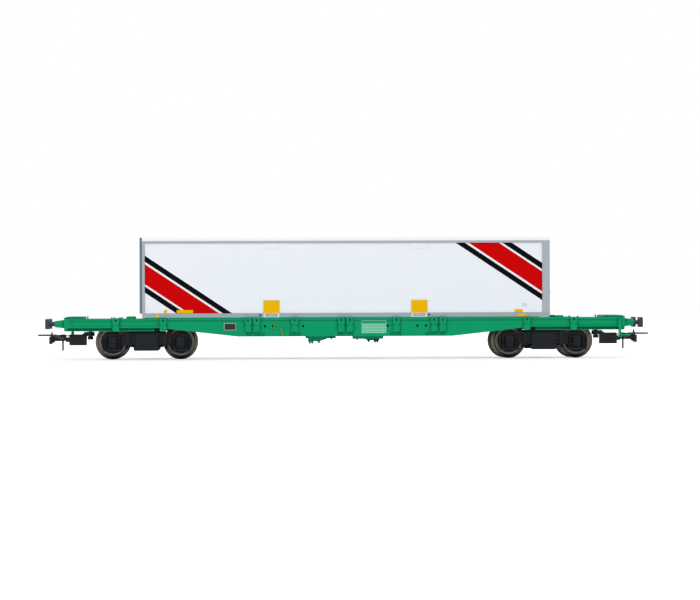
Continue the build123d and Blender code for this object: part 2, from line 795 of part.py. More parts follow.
def coupling_shank():
    """Pivoting arm stepped down to the box that takes the coupler."""
    z = (arm_top_z - arm_height, arm_top_z)
    half = arm_width / 2
    x1 = coupling_x + 1.4
    eye = rod_z(coupling_x, 0, z[0], z[1], half)
    pocket_top = z[0] + pocket_seat
    low = pocket_top - pocket_height
    arm = eye + plate_xz([
        (coupling_x, z[0]), (coupling_x, z[1]), (x1 + 1.0, z[1]),
        (x1 + 1.0, z[1] - 0.5), (x1 + 1.6, z[1] - 0.5), (x1 + 1.6, z[0]),
    ], -half, half)
    pocket = rounded_xz([
        (x1, low), (x1, pocket_top), (x1 + pocket_length, pocket_top), (x1 + pocket_length, low),
    ], -pocket_width / 2, pocket_width / 2, 0.3)
    ledge = block((x1 + 2.2, x1 + pocket_length - 0.6), (-pocket_width / 2 - 0.15, pocket_width / 2 + 0.15),
                  (low + 1.5, low + 2.0))
    socket = block((x1 + 1.6, x1 + pocket_length + 1), (-1.3, 1.3), (coupler_z - 1.1, coupler_z + 0.7))
    shank = arm + pocket + ledge - socket
    return shank - rod_z(coupling_x, 0, z[0] - 1, z[1] + 1, coupling_pin_radius + running_gap)


coupler_z = arm_top_z - arm_height - 1.1
pocket_end_x = coupling_x + 1.4 + pocket_length
loop_pivot_x = pocket_end_x + neck_length + 1.2


def coupler_head():
    """Head with hook, front plate and the slot that the trip pin swings in."""
    neck_x = (pocket_end_x - neck_root, pocket_end_x + neck_length)
    neck = block(neck_x, (-1.3, 1.3), (coupler_z - 1.1, coupler_z + 0.7))
    x0 = pocket_end_x + neck_length
    x1 = x0 + coupler_length
    top = coupler_z + 1.9
    low = top - coupler_height
    body = plate_xz([
        (x0, low + 0.7), (x0, top - 0.3), (x0 + 0.6, top), (x1 - 1.6, top - 0.5), (x1 - 1.2, top + 1.3),
        (x1 - 0.6, top - 0.5), (x1, low + 0.2), (x1 - 0.2, low), (x1 - 2.0, low), (x1 - 2.3, low + 0.6),
    ], -0.9, 0.9)
    cheeks = []
    for side in (-1, 1):
        y = sorted((side * 0.9, side * (coupler_width / 2 - 1.0)))
        cheeks.append(block((x0, x0 + 2.6), y, (low + 0.7, top - 0.3)))
    front = block((x1 - 1.2, x1 - 0.2), (-coupler_width / 2, coupler_width / 2), (low - 0.5, top - 1.0))
    front = fillet(front.edges().filter_by(Axis.X), 0.4)
    head = neck + body + cheeks[0] + cheeks[1] + front
    slot = block((loop_pivot_x - 1.0, loop_pivot_x + 2.4), (-0.55, 0.55), (low - 1, loop_pivot_z + 0.8))
    bore = rod_y(loop_pivot_x, -coupler_width, coupler_width, loop_pivot_z, loop_pin_radius + running_gap)
    return head - slot - bore


loop_pivot_z = coupler_z + 0.3


def coupler_loop():
    """Lifting loop on its cross pin, with the trip pin below it."""
    y = loop_width / 2
    tip = loop_pivot_x + loop_reach
    back = loop_pivot_x - 0.6
    high = loop_pivot_z + loop_rise
    half = 0.3
    side_view = plate_xz([
        (back, loop_pivot_z - 0.4), (loop_pivot_x + 0.5, loop_pivot_z - 0.4),
        (loop_pivot_x + 3.1, high - half), (tip, high - half),
        (tip, high + half), (loop_pivot_x + 2.8, high + half),
        (loop_pivot_x - 0.1, loop_pivot_z + 0.4), (back, loop_pivot_z + 0.4),
    ], -y, y)
    cut = 1.4
    strip = loop_strip
    outer = plate_xy([
        (back, -y), (tip - cut, -y), (tip, cut - y), (tip, y - cut), (tip - cut, y), (back, y),
    ], loop_pivot_z - 1, high + 1)
    corner = cut + strip * 0.4
    inner = plate_xy([
        (back - 1, strip - y), (tip - corner, strip - y), (tip - strip, corner - y),
        (tip - strip, y - corner), (tip - corner, y - strip), (back - 1, y - strip),
    ], loop_pivot_z - 2, high + 2)
    bow = side_view & (outer - inner)
    cross = rod_y(loop_pivot_x, strip / 2 - y, y - strip / 2, loop_pivot_z, loop_pin_radius)
    trip = rod_z(loop_pivot_x, 0, loop_pivot_z - trip_pin_length, loop_pivot_z, 0.35)
    return bow + cross + trip


def container_floor():
    """Floor with side and front rails, grapple recesses and sockets for the four spigots."""
    z0 = container_z
    x = (-half_container + wall, half_container)
    floor = block(x, (-half_width, half_width), (z0, z0 + floor_thickness))
    rail_in = panel_out - wall
    rail_z = (z0, z0 + bottom_rail_height)
    for side in (-1, 1):
        y = sorted((side * rail_in, side * half_width))
        floor = floor + block(x, y, rail_z)
    floor = floor + block((x[0], x[0] + front_post_width), (-half_width, half_width), rail_z)
    for side in (-1, 1):
        x = side * pad_plate_spacing / 2
        for y in ((half_width - 0.5, half_width + 1), (-half_width - 1, -half_width + 0.5)):
            floor = floor - block((x - 2.2, x + 2.2), y, (z0 + 0.3, z0 + 1.4))
        for y in (-spigot_spacing / 2, spigot_spacing / 2):
            floor = floor - rod_z(side * support_x, y, z0 - 1, z0 + spigot_height + 0.2, spigot_radius + 0.2)
    return floor


def side_panel():
    """Far side wall between the corner posts."""
    x = (-half_container + wall + front_post_width, half_container - rear_post_width)
    return block(x, (panel_out - wall, panel_out), (container_z + bottom_rail_height, top_rail_z))


def front_wall():
    """End wall at the left, with two shallow fields pressed into it."""
    z = (container_z + bottom_rail_height, roof_z + roof_height - wall_drop)
    x = (-half_container, -half_container + wall)
    panel = block(x, (-half_width, half_width), z)
    for side in (-1, 1):
        y = sorted((side * 0.9, side * (half_width - 2.2)))
        field = block((x[0] - 1, x[0] + 0.25), y, (z[0] + 1.8, z[1] - 2.2))
        panel = panel - fillet(field.edges().filter_by(Axis.X), 0.8)
    return panel


def corner_posts():
    """Two narrow posts at the front wall and two broad ones beside the doors."""
    z = (container_z + bottom_rail_height, top_rail_z)
    x = -half_container + wall
    front = block((x, x + front_post_width), (half_width - 1.4, half_width), z)
    rear = block((half_container - rear_post_width, half_container), (half_width - 1.8, half_width), z)
    rear = fillet(rear.edges().filter_by(Axis.Z).group_by(Axis.X)[-1].group_by(Axis.Y)[-1], 0.4)
    return across(front) + across(rear)


def top_rails():
    """Rail along each side under the roof, and the header over the doors."""
    x = (-half_container + wall, half_container)
    rail = block(x, (panel_out - wall, half_width), (top_rail_z, roof_z))
    header_y = panel_out - wall
    header = block((half_container - 1.2, half_container), (-header_y, header_y), (top_rail_z, roof_z))
    return across(rail) + [header]


def roof():
    """Roof panel with rounded long edges."""
    x = (-half_container + wall, half_container)
    panel = block(x, (-half_width, half_width), (roof_z, roof_z + roof_height))
    return fillet(panel.edges().filter_by(Axis.X).group_by(Axis.Z)[-1], 0.5)


def door_leaves():
    """Two door leaves between the rear posts, moulded shut, with recessed fields and hinge straps."""
    y = (0.05, half_width - 1.8)
    z = (container_z + floor_thickness, top_rail_z)
    height = z[1] - z[0]
    leaf = block((door_face_x - wall, door_face_x), y, z)
    for low in (0.12, 0.52):
        field = block((door_face_x - 0.2, door_face_x + 1), (y[0] + 1.0, y[1] - 1.0),
                      (z[0] + height * low, z[0] + height * (low + 0.34)))
        leaf = leaf - fillet(field.edges().filter_by(Axis.X), 0.5)
    for share in (0.08, 0.49, 0.9):
        middle = z[0] + height * share
        hinge_z = (middle - hinge_height / 2, middle + hinge_height / 2)
        leaf = leaf + block((door_face_x, half_container), (y[1] - hinge_reach, y[1]), hinge_z)
    return across(leaf)


def door_rods():
    """Four locking rods with handles, guides and cams, seated on the door leaves."""
    z = (container_z + floor_thickness + 0.3, top_rail_z - 0.3)
    height = z[1] - z[0]
    rods = []
    for y in door_rod_places:
        rod = rod_z(door_face_x + rod_radius - 0.05, y, z[0], z[1], rod_radius)
        cut = block((door_face_x - 1, door_face_x), (y - 1, y + 1), (z[0] - 1, z[1] + 1))
        grip_z = z[0] + height * 0.3
        handle = block((door_face_x, door_face_x + 0.4), (y - 2.0, y), (grip_z, grip_z + 0.6))
        rod = rod - cut + handle
        for share in (0.03, 0.46, 0.97):
            middle = z[0] + height * share
            guide_z = (middle - 0.3, middle + 0.3)
            rod = rod + block((door_face_x, door_face_x + 0.55), (y - 0.6, y + 0.6), guide_z)
        rods += across(rod)
    return rods


def grapple_plates():
    """Lifting-grapple plates on the side walls above the bottom rails."""
    plates = []
    half = pad_plate_width / 2
    z = (container_z + bottom_rail_height, container_z + bottom_rail_height + pad_plate_height)
    for side in (-1, 1):
        x = side * pad_plate_spacing / 2
        plates += across(block((x - half, x + half), (panel_out, half_width), z))
    return plates


def build():
    """Every sub-part by the name of its file."""
    parts = {}
    parts["side_sill_near"] = [mirror(side_sill(), about=Plane.XZ)]
    parts["side_sill_far"] = [side_sill()]
    folded = []
    for x in belly_brackets:
        folded += ends(bracket(x, bracket_lip, belly_bracket_drop))
    folded += ends(bracket(support_x, 0)) + ends(bracket(outer_bracket_x, bracket_lip))
    parts["folded_spigots_near"] = [mirror(part, about=Plane.XZ) for part in folded]
    parts["folded_spigots_far"] = folded
    members = [(side * x, depth) for x, depth in cross_members for side in (-1, 1) if side > 0 or x > 0]
    parts["cross_members"] = [cross_member(x, depth) for x, depth in members]
    beams = [part for end in ends(centre_beam()) for part in across(end)]
    parts["centre_beams"] = beams
    parts["body_bolsters"] = ends(body_bolster())
    parts["headstocks"] = ends(headstock())
    parts["end_decks"] = ends(end_deck())
    y = buffer_spacing / 2
    parts["buffer_housings"] = [part for side in (-y, y) for part in ends(buffer_housing(side))]
    parts["buffer_heads"] = [part for side in (-y, y) for part in ends(buffer_head(side))]
    tops = [upright_spigot(), flat_spigot(), deck_peg_pin()] + spigot_ears(outer_bracket_x)
    parts["deck_spigots"] = [part for top in tops for end in ends(top) for part in across(end)]
    parts["corner_steps"] = turned(corner_step())
    parts["brake_lever_brackets"] = turned(lever_bracket())
    parts["brake_plates"] = turned(brake_plate())
    parts["label_boards"] = turned(label_board())
    parts["lever_handles"] = [part for handle in lever_handles() for part in turned(handle)]
    parts["coupling_carriers"] = ends(coupling_carrier())
    parts["air_reservoir"] = [air_reservoir()]
    parts["brake_cylinder"] = [brake_cylinder()]
    parts["brake_pull_rod"] = pull_rods()
    for end, side in (("left", -1), ("right", 1)):
        x = side * pivot_x
        parts[f"bogie_side_frames_{end}"] = across(side_frame(x))
        parts[f"bogie_centre_blocks_{end}"] = across(centre_block(x))
        parts[f"bogie_springs_{end}"] = [part for coil in axle_springs(x) for part in across(coil)]
        parts[f"bogie_bolster_{end}"] = [bogie_bolster(x)]
        parts[f"brake_gear_{end}"] = brake_gear(x)
        flip = Rot(0, 0, 0) if side > 0 else Rot(0, 0, 180)
        parts[f"coupling_shank_{end}"] = [flip * coupling_shank()]
        parts[f"coupler_head_{end}"] = [flip * coupler_head()]
        parts[f"coupler_loop_{end}"] = [flip * coupler_loop()]
    axles = [side * pivot_x + step * wheelbase / 2 for side in (-1, 1) for step in (-1, 1)]
    for number, x in enumerate(axles, start=1):
        wheels, axle = wheelset(x)
        parts[f"wheels_{number}"] = wheels
        parts[f"axle_{number}"] = axle
    parts["container_floor"] = [container_floor()]
    parts["container_side_near"] = [mirror(side_panel(), about=Plane.XZ)]
    parts["container_side_far"] = [side_panel()]
    parts["container_front_wall"] = [front_wall()]
    parts["container_corner_posts"] = corner_posts()
    parts["container_top_rails"] = top_rails()
    parts["container_roof"] = [roof()]
    parts["container_doors"] = door_leaves()
    parts["container_door_rods"] = door_rods()
    parts["container_grapple_plates"] = grapple_plates()
    return parts


os.makedirs("parts", exist_ok=True)
for part_name, part_shapes in build().items():
    save(part_name, part_shapes)
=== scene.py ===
import bpy
import bmesh
import math
from mathutils import Matrix, Vector


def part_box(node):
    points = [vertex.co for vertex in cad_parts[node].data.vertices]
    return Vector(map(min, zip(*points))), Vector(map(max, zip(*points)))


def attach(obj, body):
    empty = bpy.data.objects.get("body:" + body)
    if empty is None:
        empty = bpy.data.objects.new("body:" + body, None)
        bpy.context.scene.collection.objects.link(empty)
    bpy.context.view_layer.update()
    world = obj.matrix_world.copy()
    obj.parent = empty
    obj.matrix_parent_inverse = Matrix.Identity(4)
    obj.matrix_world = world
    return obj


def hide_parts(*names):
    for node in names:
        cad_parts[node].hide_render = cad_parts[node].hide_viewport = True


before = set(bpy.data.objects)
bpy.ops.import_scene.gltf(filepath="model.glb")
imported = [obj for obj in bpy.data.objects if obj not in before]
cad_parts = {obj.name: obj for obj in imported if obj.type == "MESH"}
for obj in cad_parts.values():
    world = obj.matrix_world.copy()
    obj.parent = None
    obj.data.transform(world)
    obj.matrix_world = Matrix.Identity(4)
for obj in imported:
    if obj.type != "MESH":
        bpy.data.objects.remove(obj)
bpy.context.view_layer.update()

# the pieces are drawn in the model's own millimetres and brought to metres when they are finished
mm = 0.001

print("camera, lights and floor")

cameraSet = {
    "place": (-0.050, -1.195, 0.020),   # a model photographer's long lens, level with the sills
    "centre": (0.0017, -0.015, 0.02225),  # what the middle of the picture shows
    "lens": 160.6,
    "roll": -0.19,
}

lightSet = {
    "worldStrength": 0.62,
    "worldColour": (0.97, 0.985, 1.0, 1.0),
    "top": {"place": (-0.10, -0.25, 1.10), "size": 1.3, "power": 4.6},
    "front": {"place": (-0.55, -1.10, 0.75), "size": 0.9, "power": 3.2},
    "back": {"place": (0.35, 0.80, 0.80), "size": 0.9, "power": 1.6},
    # white that the lens sees on top of the lit floor, by the distance from the wagon's middle line, and
    # half the length of that line; the dip beside the wagon is a painted shadow band, the rise right under it
    # painted light
    "floorWhiteAndPaintedShadow": ((0.0, 0.36), (0.014, 0.33), (0.032, 0.10), (0.075, 0.12), (0.250, 0.55)),
    "lineHalf": 0.112,
    "floorHalf": 4.0, "floorColour": (0.94, 0.945, 0.95, 1), "floorGrain": 900,
}


def aimAt(thing, target, roll=0.0):
    ray = Vector(target) - Vector(thing.location)
    turn = ray.to_track_quat("-Z", "Y").to_matrix() @ Matrix.Rotation(math.radians(roll), 3, "Z")
    thing.rotation_euler = turn.to_euler()


def addCamera():
    lensData = bpy.data.cameras.new("camera")
    lensData.lens = cameraSet["lens"]
    lensData.sensor_width = 36
    lensData.clip_start = 0.05
    lensData.clip_end = 20
    camera = bpy.data.objects.new("camera", lensData)
    bpy.context.collection.objects.link(camera)
    camera.location = cameraSet["place"]
    aimAt(camera, cameraSet["centre"], cameraSet["roll"])
    bpy.context.scene.camera = camera


def addLight(name, values):
    lamp = bpy.data.lights.new(name, "AREA")
    lamp.shape = "SQUARE"
    lamp.size = values["size"]
    lamp.energy = values["power"]
    holder = bpy.data.objects.new(name, lamp)
    bpy.context.collection.objects.link(holder)
    holder.location = values["place"]
    aimAt(holder, (0, 0, 0.02))


def addWorld():
    world = bpy.data.worlds.new("studio")
    bpy.context.scene.world = world
    world.use_nodes = True
    nodes, links = world.node_tree.nodes, world.node_tree.links
    nodes.clear()
    out = nodes.new("ShaderNodeOutputWorld")
    mix = nodes.new("ShaderNodeMixShader")
    path = nodes.new("ShaderNodeLightPath")
    seenBy = nodes.new("ShaderNodeMath")
    seenBy.operation = "MAXIMUM"
    lit = nodes.new("ShaderNodeBackground")
    seen = nodes.new("ShaderNodeBackground")
    lit.inputs["Color"].default_value = lightSet["worldColour"]
    lit.inputs["Strength"].default_value = lightSet["worldStrength"]
    seen.inputs["Color"].default_value = (1, 1, 1, 1)
    seen.inputs["Strength"].default_value = 1.0
    links.new(path.outputs["Is Camera Ray"], seenBy.inputs[0])
    links.new(path.outputs["Is Glossy Ray"], seenBy.inputs[1])
    links.new(seenBy.outputs[0], mix.inputs[0])
    links.new(lit.outputs[0], mix.inputs[1])
    links.new(seen.outputs[0], mix.inputs[2])
    links.new(mix.outputs[0], out.inputs[0])


def mathNode(tree, kind, *values, clamp=False):
    node = tree.nodes.new("ShaderNodeMath")
    node.operation = kind
    node.use_clamp = clamp
    for slot, value in enumerate(values):
        if isinstance(value, (int, float)):
            node.inputs[slot].default_value = value
        else:
            tree.links.new(value, node.inputs[slot])
    return node.outputs[0]


def addFloor():
    bm = bmesh.new()
    bmesh.ops.create_grid(bm, x_segments=1, y_segments=1, size=lightSet["floorHalf"])
    mesh = bpy.data.meshes.new("floor")
    bm.to_mesh(mesh)
    bm.free()
    floor = bpy.data.objects.new("floor", mesh)
    bpy.context.collection.objects.link(floor)
    mat = bpy.data.materials.new("floorWhite")
    mat.use_nodes = True
    tree = mat.node_tree
    shader = tree.nodes["Principled BSDF"]
    shader.inputs["Base Color"].default_value = lightSet["floorColour"]
    shader.inputs["Roughness"].default_value = 0.6
    shader.inputs["Specular IOR Level"].default_value = 0.15
    noise = tree.nodes.new("ShaderNodeTexNoise")
    noise.inputs["Scale"].default_value = lightSet["floorGrain"]
    bump = tree.nodes.new("ShaderNodeBump")
    bump.inputs["Strength"].default_value = 0.03
    bump.inputs["Distance"].default_value = 0.0002
    tree.links.new(noise.outputs[0], bump.inputs["Height"])
    tree.links.new(bump.outputs[0], shader.inputs["Normal"])
    path = tree.nodes.new("ShaderNodeLightPath")
    place = tree.nodes.new("ShaderNodeTexCoord")
    split = tree.nodes.new("ShaderNodeSeparateXYZ")
    tree.links.new(place.outputs["Object"], split.inputs[0])
    along = mathNode(tree, "ABSOLUTE", split.outputs["X"])
    past = mathNode(tree, "MAXIMUM", mathNode(tree, "SUBTRACT", along, lightSet["lineHalf"]), 0.0)
    square = mathNode(tree, "MULTIPLY", split.outputs["Y"], split.outputs["Y"])
    away = mathNode(tree, "SQRT", mathNode(tree, "MULTIPLY_ADD", past, past, square))
    spread = tree.nodes.new("ShaderNodeValToRGB")
    stops = spread.color_ramp.elements
    while len(stops) < len(lightSet["floorWhiteAndPaintedShadow"]):
        stops.new(0.5)
    for stop, (distance, white) in zip(stops, lightSet["floorWhiteAndPaintedShadow"]):
        stop.position = distance / lightSet["floorWhiteAndPaintedShadow"][-1][0]
        stop.color = (white, white, white, 1)
    tree.links.new(mathNode(tree, "DIVIDE", away, lightSet["floorWhiteAndPaintedShadow"][-1][0]), spread.inputs[0])
    shader.inputs["Emission Color"].default_value = (1, 1, 1, 1)
    # painted shadow and light: the white added for the lens dips beside the wagon and rises right under it
    whiteAndPaintedShadow = mathNode(tree, "MULTIPLY", path.outputs["Is Camera Ray"], spread.outputs[0])
    tree.links.new(whiteAndPaintedShadow, shader.inputs["Emission Strength"])
    mesh.materials.append(mat)


addCamera()
addWorld()
for lampName in ("top", "front", "back"):
    addLight(lampName, lightSet[lampName])
addFloor()

print("shader groups")


def newGroup(name, inputs, outputs):
    group = bpy.data.node_groups.new(name, "ShaderNodeTree")
    for label, kind, value in inputs:
        group.interface.new_socket(name=label, in_out="INPUT", socket_type=kind).default_value = value
    for label, kind in outputs:
        group.interface.new_socket(name=label, in_out="OUTPUT", socket_type=kind)
    return group, group.nodes.new("NodeGroupInput"), group.nodes.new("NodeGroupOutput")


def mixColour(tree, factor, a, b):
    node = tree.nodes.new("ShaderNodeMix")
    node.data_type = "RGBA"
    for slot, value in (("Factor", factor), ("A", a), ("B", b)):
        target = [s for s in node.inputs if s.name == slot and s.enabled][0]
        if isinstance(value, (int, float, tuple)):
            target.default_value = value
        else:
            tree.links.new(value, target)
    return [s for s in node.outputs if s.enabled][0]


def objectAxes(tree):
    # the piece's own place in millimetres, as three separate sockets
    place = tree.nodes.new("ShaderNodeTexCoord")
    grow = tree.nodes.new("ShaderNodeVectorMath")
    grow.operation = "SCALE"
    grow.inputs["Scale"].default_value = 1 / mm
    tree.links.new(place.outputs["Object"], grow.inputs[0])
    split = tree.nodes.new("ShaderNodeSeparateXYZ")
    tree.links.new(grow.outputs[0], split.inputs[0])
    return split.outputs


def between(tree, value, low, high):
    above = mathNode(tree, "GREATER_THAN", value, low)
    below = mathNode(tree, "LESS_THAN", value, high)
    return mathNode(tree, "MULTIPLY", above, below)


def noiseNode(tree, vector, scale, detail):
    noise = tree.nodes.new("ShaderNodeTexNoise")
    noise.inputs["Scale"].default_value = scale
    noise.inputs["Detail"].default_value = detail
    tree.links.new(vector, noise.inputs["Vector"])
    return noise.outputs[0]


grainSet = {
    "broad": 60, "fine": 2600,      # noise scales of the colour drift and the spray grain
    # reach of the painted shade in hollows, radius of the soft edges, depth of the grain
    "hollowShadeReach": 1.3, "edgeRadius": 0.10, "grainDepth": 0.03,
    # gain of the painted highlight on edges, swing of the roughness
    "edgeHighlightGain": 5.0, "roughSwing": 1.2,
}


def buildFinishAndLightGroup():
    # colour that drifts a little, with painted shade darkening the hollows and a painted highlight along soft
    # edges, and a fine spray grain
    group, inside, outside = newGroup("mouldedFinishPaintedLight", [
        ("Colour", "NodeSocketColor", (0.5, 0.5, 0.5, 1)),
        ("Drift", "NodeSocketFloat", 0.06),
        ("HollowShade", "NodeSocketFloat", 0.5),
        ("EdgeHighlight", "NodeSocketFloat", 0.3),
        ("Rough", "NodeSocketFloat", 0.4),
        ("Grain", "NodeSocketFloat", 0.15),
    ], [("Colour", "NodeSocketColor"), ("Rough", "NodeSocketFloat"), ("Normal", "NodeSocketVector")])
    nodes, links = group.nodes, group.links
    place = nodes.new("ShaderNodeTexCoord").outputs["Object"]
    broad = noiseNode(group, place, grainSet["broad"], 4)
    fine = noiseNode(group, place, grainSet["fine"], 3)
    swing = mathNode(group, "MULTIPLY", mathNode(group, "SUBTRACT", broad, 0.5), inside.outputs["Drift"])
    shade = nodes.new("ShaderNodeAmbientOcclusion")
    shade.samples = 6
    shade.inputs["Distance"].default_value = grainSet["hollowShadeReach"] * mm
    soft = nodes.new("ShaderNodeBevel")
    soft.samples = 4
    soft.inputs["Radius"].default_value = grainSet["edgeRadius"] * mm
    flat = nodes.new("ShaderNodeNewGeometry")
    facing = nodes.new("ShaderNodeVectorMath")
    facing.operation = "DOT_PRODUCT"
    links.new(soft.outputs[0], facing.inputs[0])
    links.new(flat.outputs["Normal"], facing.inputs[1])
    bend = mathNode(group, "SUBTRACT", 1.0, facing.outputs["Value"])
    turned = mathNode(group, "MULTIPLY", bend, grainSet["edgeHighlightGain"], clamp=True)
    # painted highlight: colour lightened along open convex edges, where light catches them
    openness = mathNode(group, "POWER", shade.outputs["AO"], 3.0)
    edge = mathNode(group, "MULTIPLY", mathNode(group, "MULTIPLY", turned, openness), inside.outputs["EdgeHighlight"])
    # painted shade: colour darkened in hollows and creases, where less light reaches
    aoShade = mathNode(group, "SUBTRACT", 1.0, shade.outputs["AO"])
    hollowShade = mathNode(group, "MULTIPLY", aoShade, inside.outputs["HollowShade"])
    bright = mathNode(group, "ADD", mathNode(group, "MULTIPLY", swing, 2.0), 1.0)
    bright = mathNode(group, "MULTIPLY", bright, mathNode(group, "ADD", edge, 1.0))
    bright = mathNode(group, "MULTIPLY", bright, mathNode(group, "SUBTRACT", 1.0, hollowShade, clamp=True))
    scaled = nodes.new("ShaderNodeVectorMath")
    scaled.operation = "SCALE"
    links.new(inside.outputs["Colour"], scaled.inputs[0])
    links.new(bright, scaled.inputs["Scale"])
    links.new(scaled.outputs[0], outside.inputs["Colour"])
    uneven = mathNode(group, "MULTIPLY", swing, grainSet["roughSwing"])
    rough = mathNode(group, "ADD", inside.outputs["Rough"], uneven, clamp=True)
    links.new(rough, outside.inputs["Rough"])
    bump = nodes.new("ShaderNodeBump")
    bump.inputs["Distance"].default_value = grainSet["grainDepth"] * mm
    links.new(inside.outputs["Grain"], bump.inputs["Strength"])
    links.new(fine, bump.inputs["Height"])
    links.new(soft.outputs[0], bump.inputs["Normal"])
    links.new(bump.outputs[0], outside.inputs["Normal"])
    return group


finishAndLightGroup = buildFinishAndLightGroup()

print("materials")

# colour, drift, painted hollow shade, painted edge highlight, roughness, grain, metallic, specular level
finishes = {
    "frameGreen": ((0.0022, 0.340, 0.140), 0.05, 0.85, 0.30, 0.42, 0.20, 0.0, 0.07),
    # painted shade: a darker copy of frameGreen for parts that lie in shadow
    "shadeGreen": ((0.0015, 0.170, 0.080), 0.05, 0.85, 0.30, 0.42, 0.20, 0.0, 0.07),
    "bogieBlack": ((0.0045, 0.0068, 0.0100), 0.20, 0.6, 1.5, 0.42, 0.35, 0.0, 0.22),
    "axleSteel": ((0.20, 0.20, 0.21), 0.08, 0.5, 0.4, 0.30, 0.15, 1.0, 0.5),
    "bufferSlate": ((0.030, 0.038, 0.052), 0.08, 0.5, 0.8, 0.40, 0.20, 0.0, 0.35),
    "couplerBlack": ((0.010, 0.013, 0.022), 0.10, 0.5, 1.4, 0.42, 0.25, 0.0, 0.30),
    "loopMetal": ((0.060, 0.060, 0.062), 0.05, 0.4, 0.6, 0.35, 0.10, 0.9, 0.5),
    "railGrey": ((0.440, 0.465, 0.500), 0.03, 0.6, 0.10, 0.42, 0.12, 0.0, 0.2),
    "wallDarkGrey": ((0.140, 0.170, 0.220), 0.03, 0.6, 0.15, 0.42, 0.12, 0.0, 0.2),
    "roofWhite": ((0.96, 0.965, 0.97), 0.010, 0.1, 0.0, 0.36, 0.10, 0.0, 0.3),
    "sideWhite": ((0.885, 0.925, 0.965), 0.010, 0.5, 0.0, 0.36, 0.10, 0.0, 0.04),
    "grappleYellow": ((0.90, 0.495, 0.0003), 0.03, 0.5, 0.05, 0.40, 0.10, 0.0, 0.04),
    "handleOlive": ((0.36, 0.34, 0.02), 0.05, 0.5, 0.2, 0.42, 0.20, 0.0, 0.3),
    "sealBlackAndHoleShade": ((0.020, 0.020, 0.022), 0.10, 0.4, 0.3, 0.62, 0.30, 0.0, 0.3),
    "palePlate": ((0.66, 0.69, 0.71), 0.02, 0.5, 0.1, 0.40, 0.10, 0.0, 0.3),
    "zincGrey": ((0.36, 0.37, 0.38), 0.06, 0.5, 0.3, 0.38, 0.15, 0.6, 0.5),
}


def startMaterial(name, finish):
    # hollowShade and edge set the painted shade in hollows and the painted highlight on edges
    _, drift, hollowShade, edge, rough, grain, metallic, specular = finishes[finish]
    mat = bpy.data.materials.new(name)
    mat.use_nodes = True
    tree = mat.node_tree
    shader = tree.nodes["Principled BSDF"]
    shader.inputs["Metallic"].default_value = metallic
    shader.inputs["Specular IOR Level"].default_value = specular
    paint = tree.nodes.new("ShaderNodeGroup")
    paint.node_tree = finishAndLightGroup
    values = {"Drift": drift, "HollowShade": hollowShade, "EdgeHighlight": edge, "Rough": rough, "Grain": grain}
    for label, value in values.items():
        paint.inputs[label].default_value = value
    tree.links.new(paint.outputs["Colour"], shader.inputs["Base Color"])
    tree.links.new(paint.outputs["Rough"], shader.inputs["Roughness"])
    tree.links.new(paint.outputs["Normal"], shader.inputs["Normal"])
    return mat, tree, paint


def plainMaterial(name):
    mat, tree, paint = startMaterial(name, name)
    paint.inputs["Colour"].default_value = (*finishes[name][0], 1)
    return mat


mats = {name: plainMaterial(name) for name in finishes}

# Each band is its colour and the heights in mm at which its lower and upper edges cross the middle of the
# side, before it falls away to the right.
stripeSet = {
    "slope": 0.665,
    "white": (0.885, 0.925, 0.965, 1),
    "black": (0.0035, 0.0025, 0.005, 1),
    "red": (0.630, 0.0, 0.0006, 1),
    "bands": (
        ("black", -25.14, -22.78), ("red", -21.95, -14.33), ("black", -13.45, -11.11),
        ("black", 71.66, 74.03), ("red", 74.95, 82.62), ("black", 83.45, 85.87),
    ),
}


def stripedMaterial(name, side):
    # side is -1 on the near wall and 1 on the far one, which carries the same stripes seen from its own side
    mat, tree, paint = startMaterial(name, "sideWhite")
    x, _, z = objectAxes(tree)
    level = mathNode(tree, "MULTIPLY_ADD", x, -side * stripeSet["slope"], z)
    colour = stripeSet["white"]
    for band, low, high in stripeSet["bands"]:
        colour = mixColour(tree, between(tree, level, low, high), colour, stripeSet[band])
    tree.links.new(colour, paint.inputs["Colour"])
    return mat


boardSet = {
    "middle": (43.7, 12.3), "half": (2.3, 1.4), "rim": 0.22,
    "dark": (0.012, 0.017, 0.020, 1), "pale": (0.42, 0.56, 0.52, 1),
}


def boardMaterial():
    # dark blank board with a pale line along its edge
    mat, tree, paint = startMaterial("boardDark", "bufferSlate")
    x, _, z = objectAxes(tree)
    away = mathNode(tree, "SUBTRACT", mathNode(tree, "ABSOLUTE", x), boardSet["middle"][0])
    across = mathNode(tree, "ABSOLUTE", away)
    up = mathNode(tree, "ABSOLUTE", mathNode(tree, "SUBTRACT", z, boardSet["middle"][1]))
    edgeX = mathNode(tree, "GREATER_THAN", across, boardSet["half"][0] - boardSet["rim"])
    edgeZ = mathNode(tree, "GREATER_THAN", up, boardSet["half"][1] - boardSet["rim"])
    edge = mathNode(tree, "MAXIMUM", edgeX, edgeZ)
    tree.links.new(mixColour(tree, edge, boardSet["dark"], boardSet["pale"]), paint.inputs["Colour"])
    return mat


wheelSet = {
    "axleHeight": 6.6,
    "disc": (0.020, 0.020, 0.023, 1),
    "rim": (0.205, 0.175, 0.150, 1),
    "paintedShadeColour": (0.008, 0.009, 0.011, 1),
    "groove": (0.018, 0.014, 0.012, 1),
    "discRadius": 3.9,
    "grooveRadius": (5.25, 5.55),
    "shadeReach": 2.6,    # how far away a frame or sill still darkens the wheel
    "shadeGain": 1.5,
}


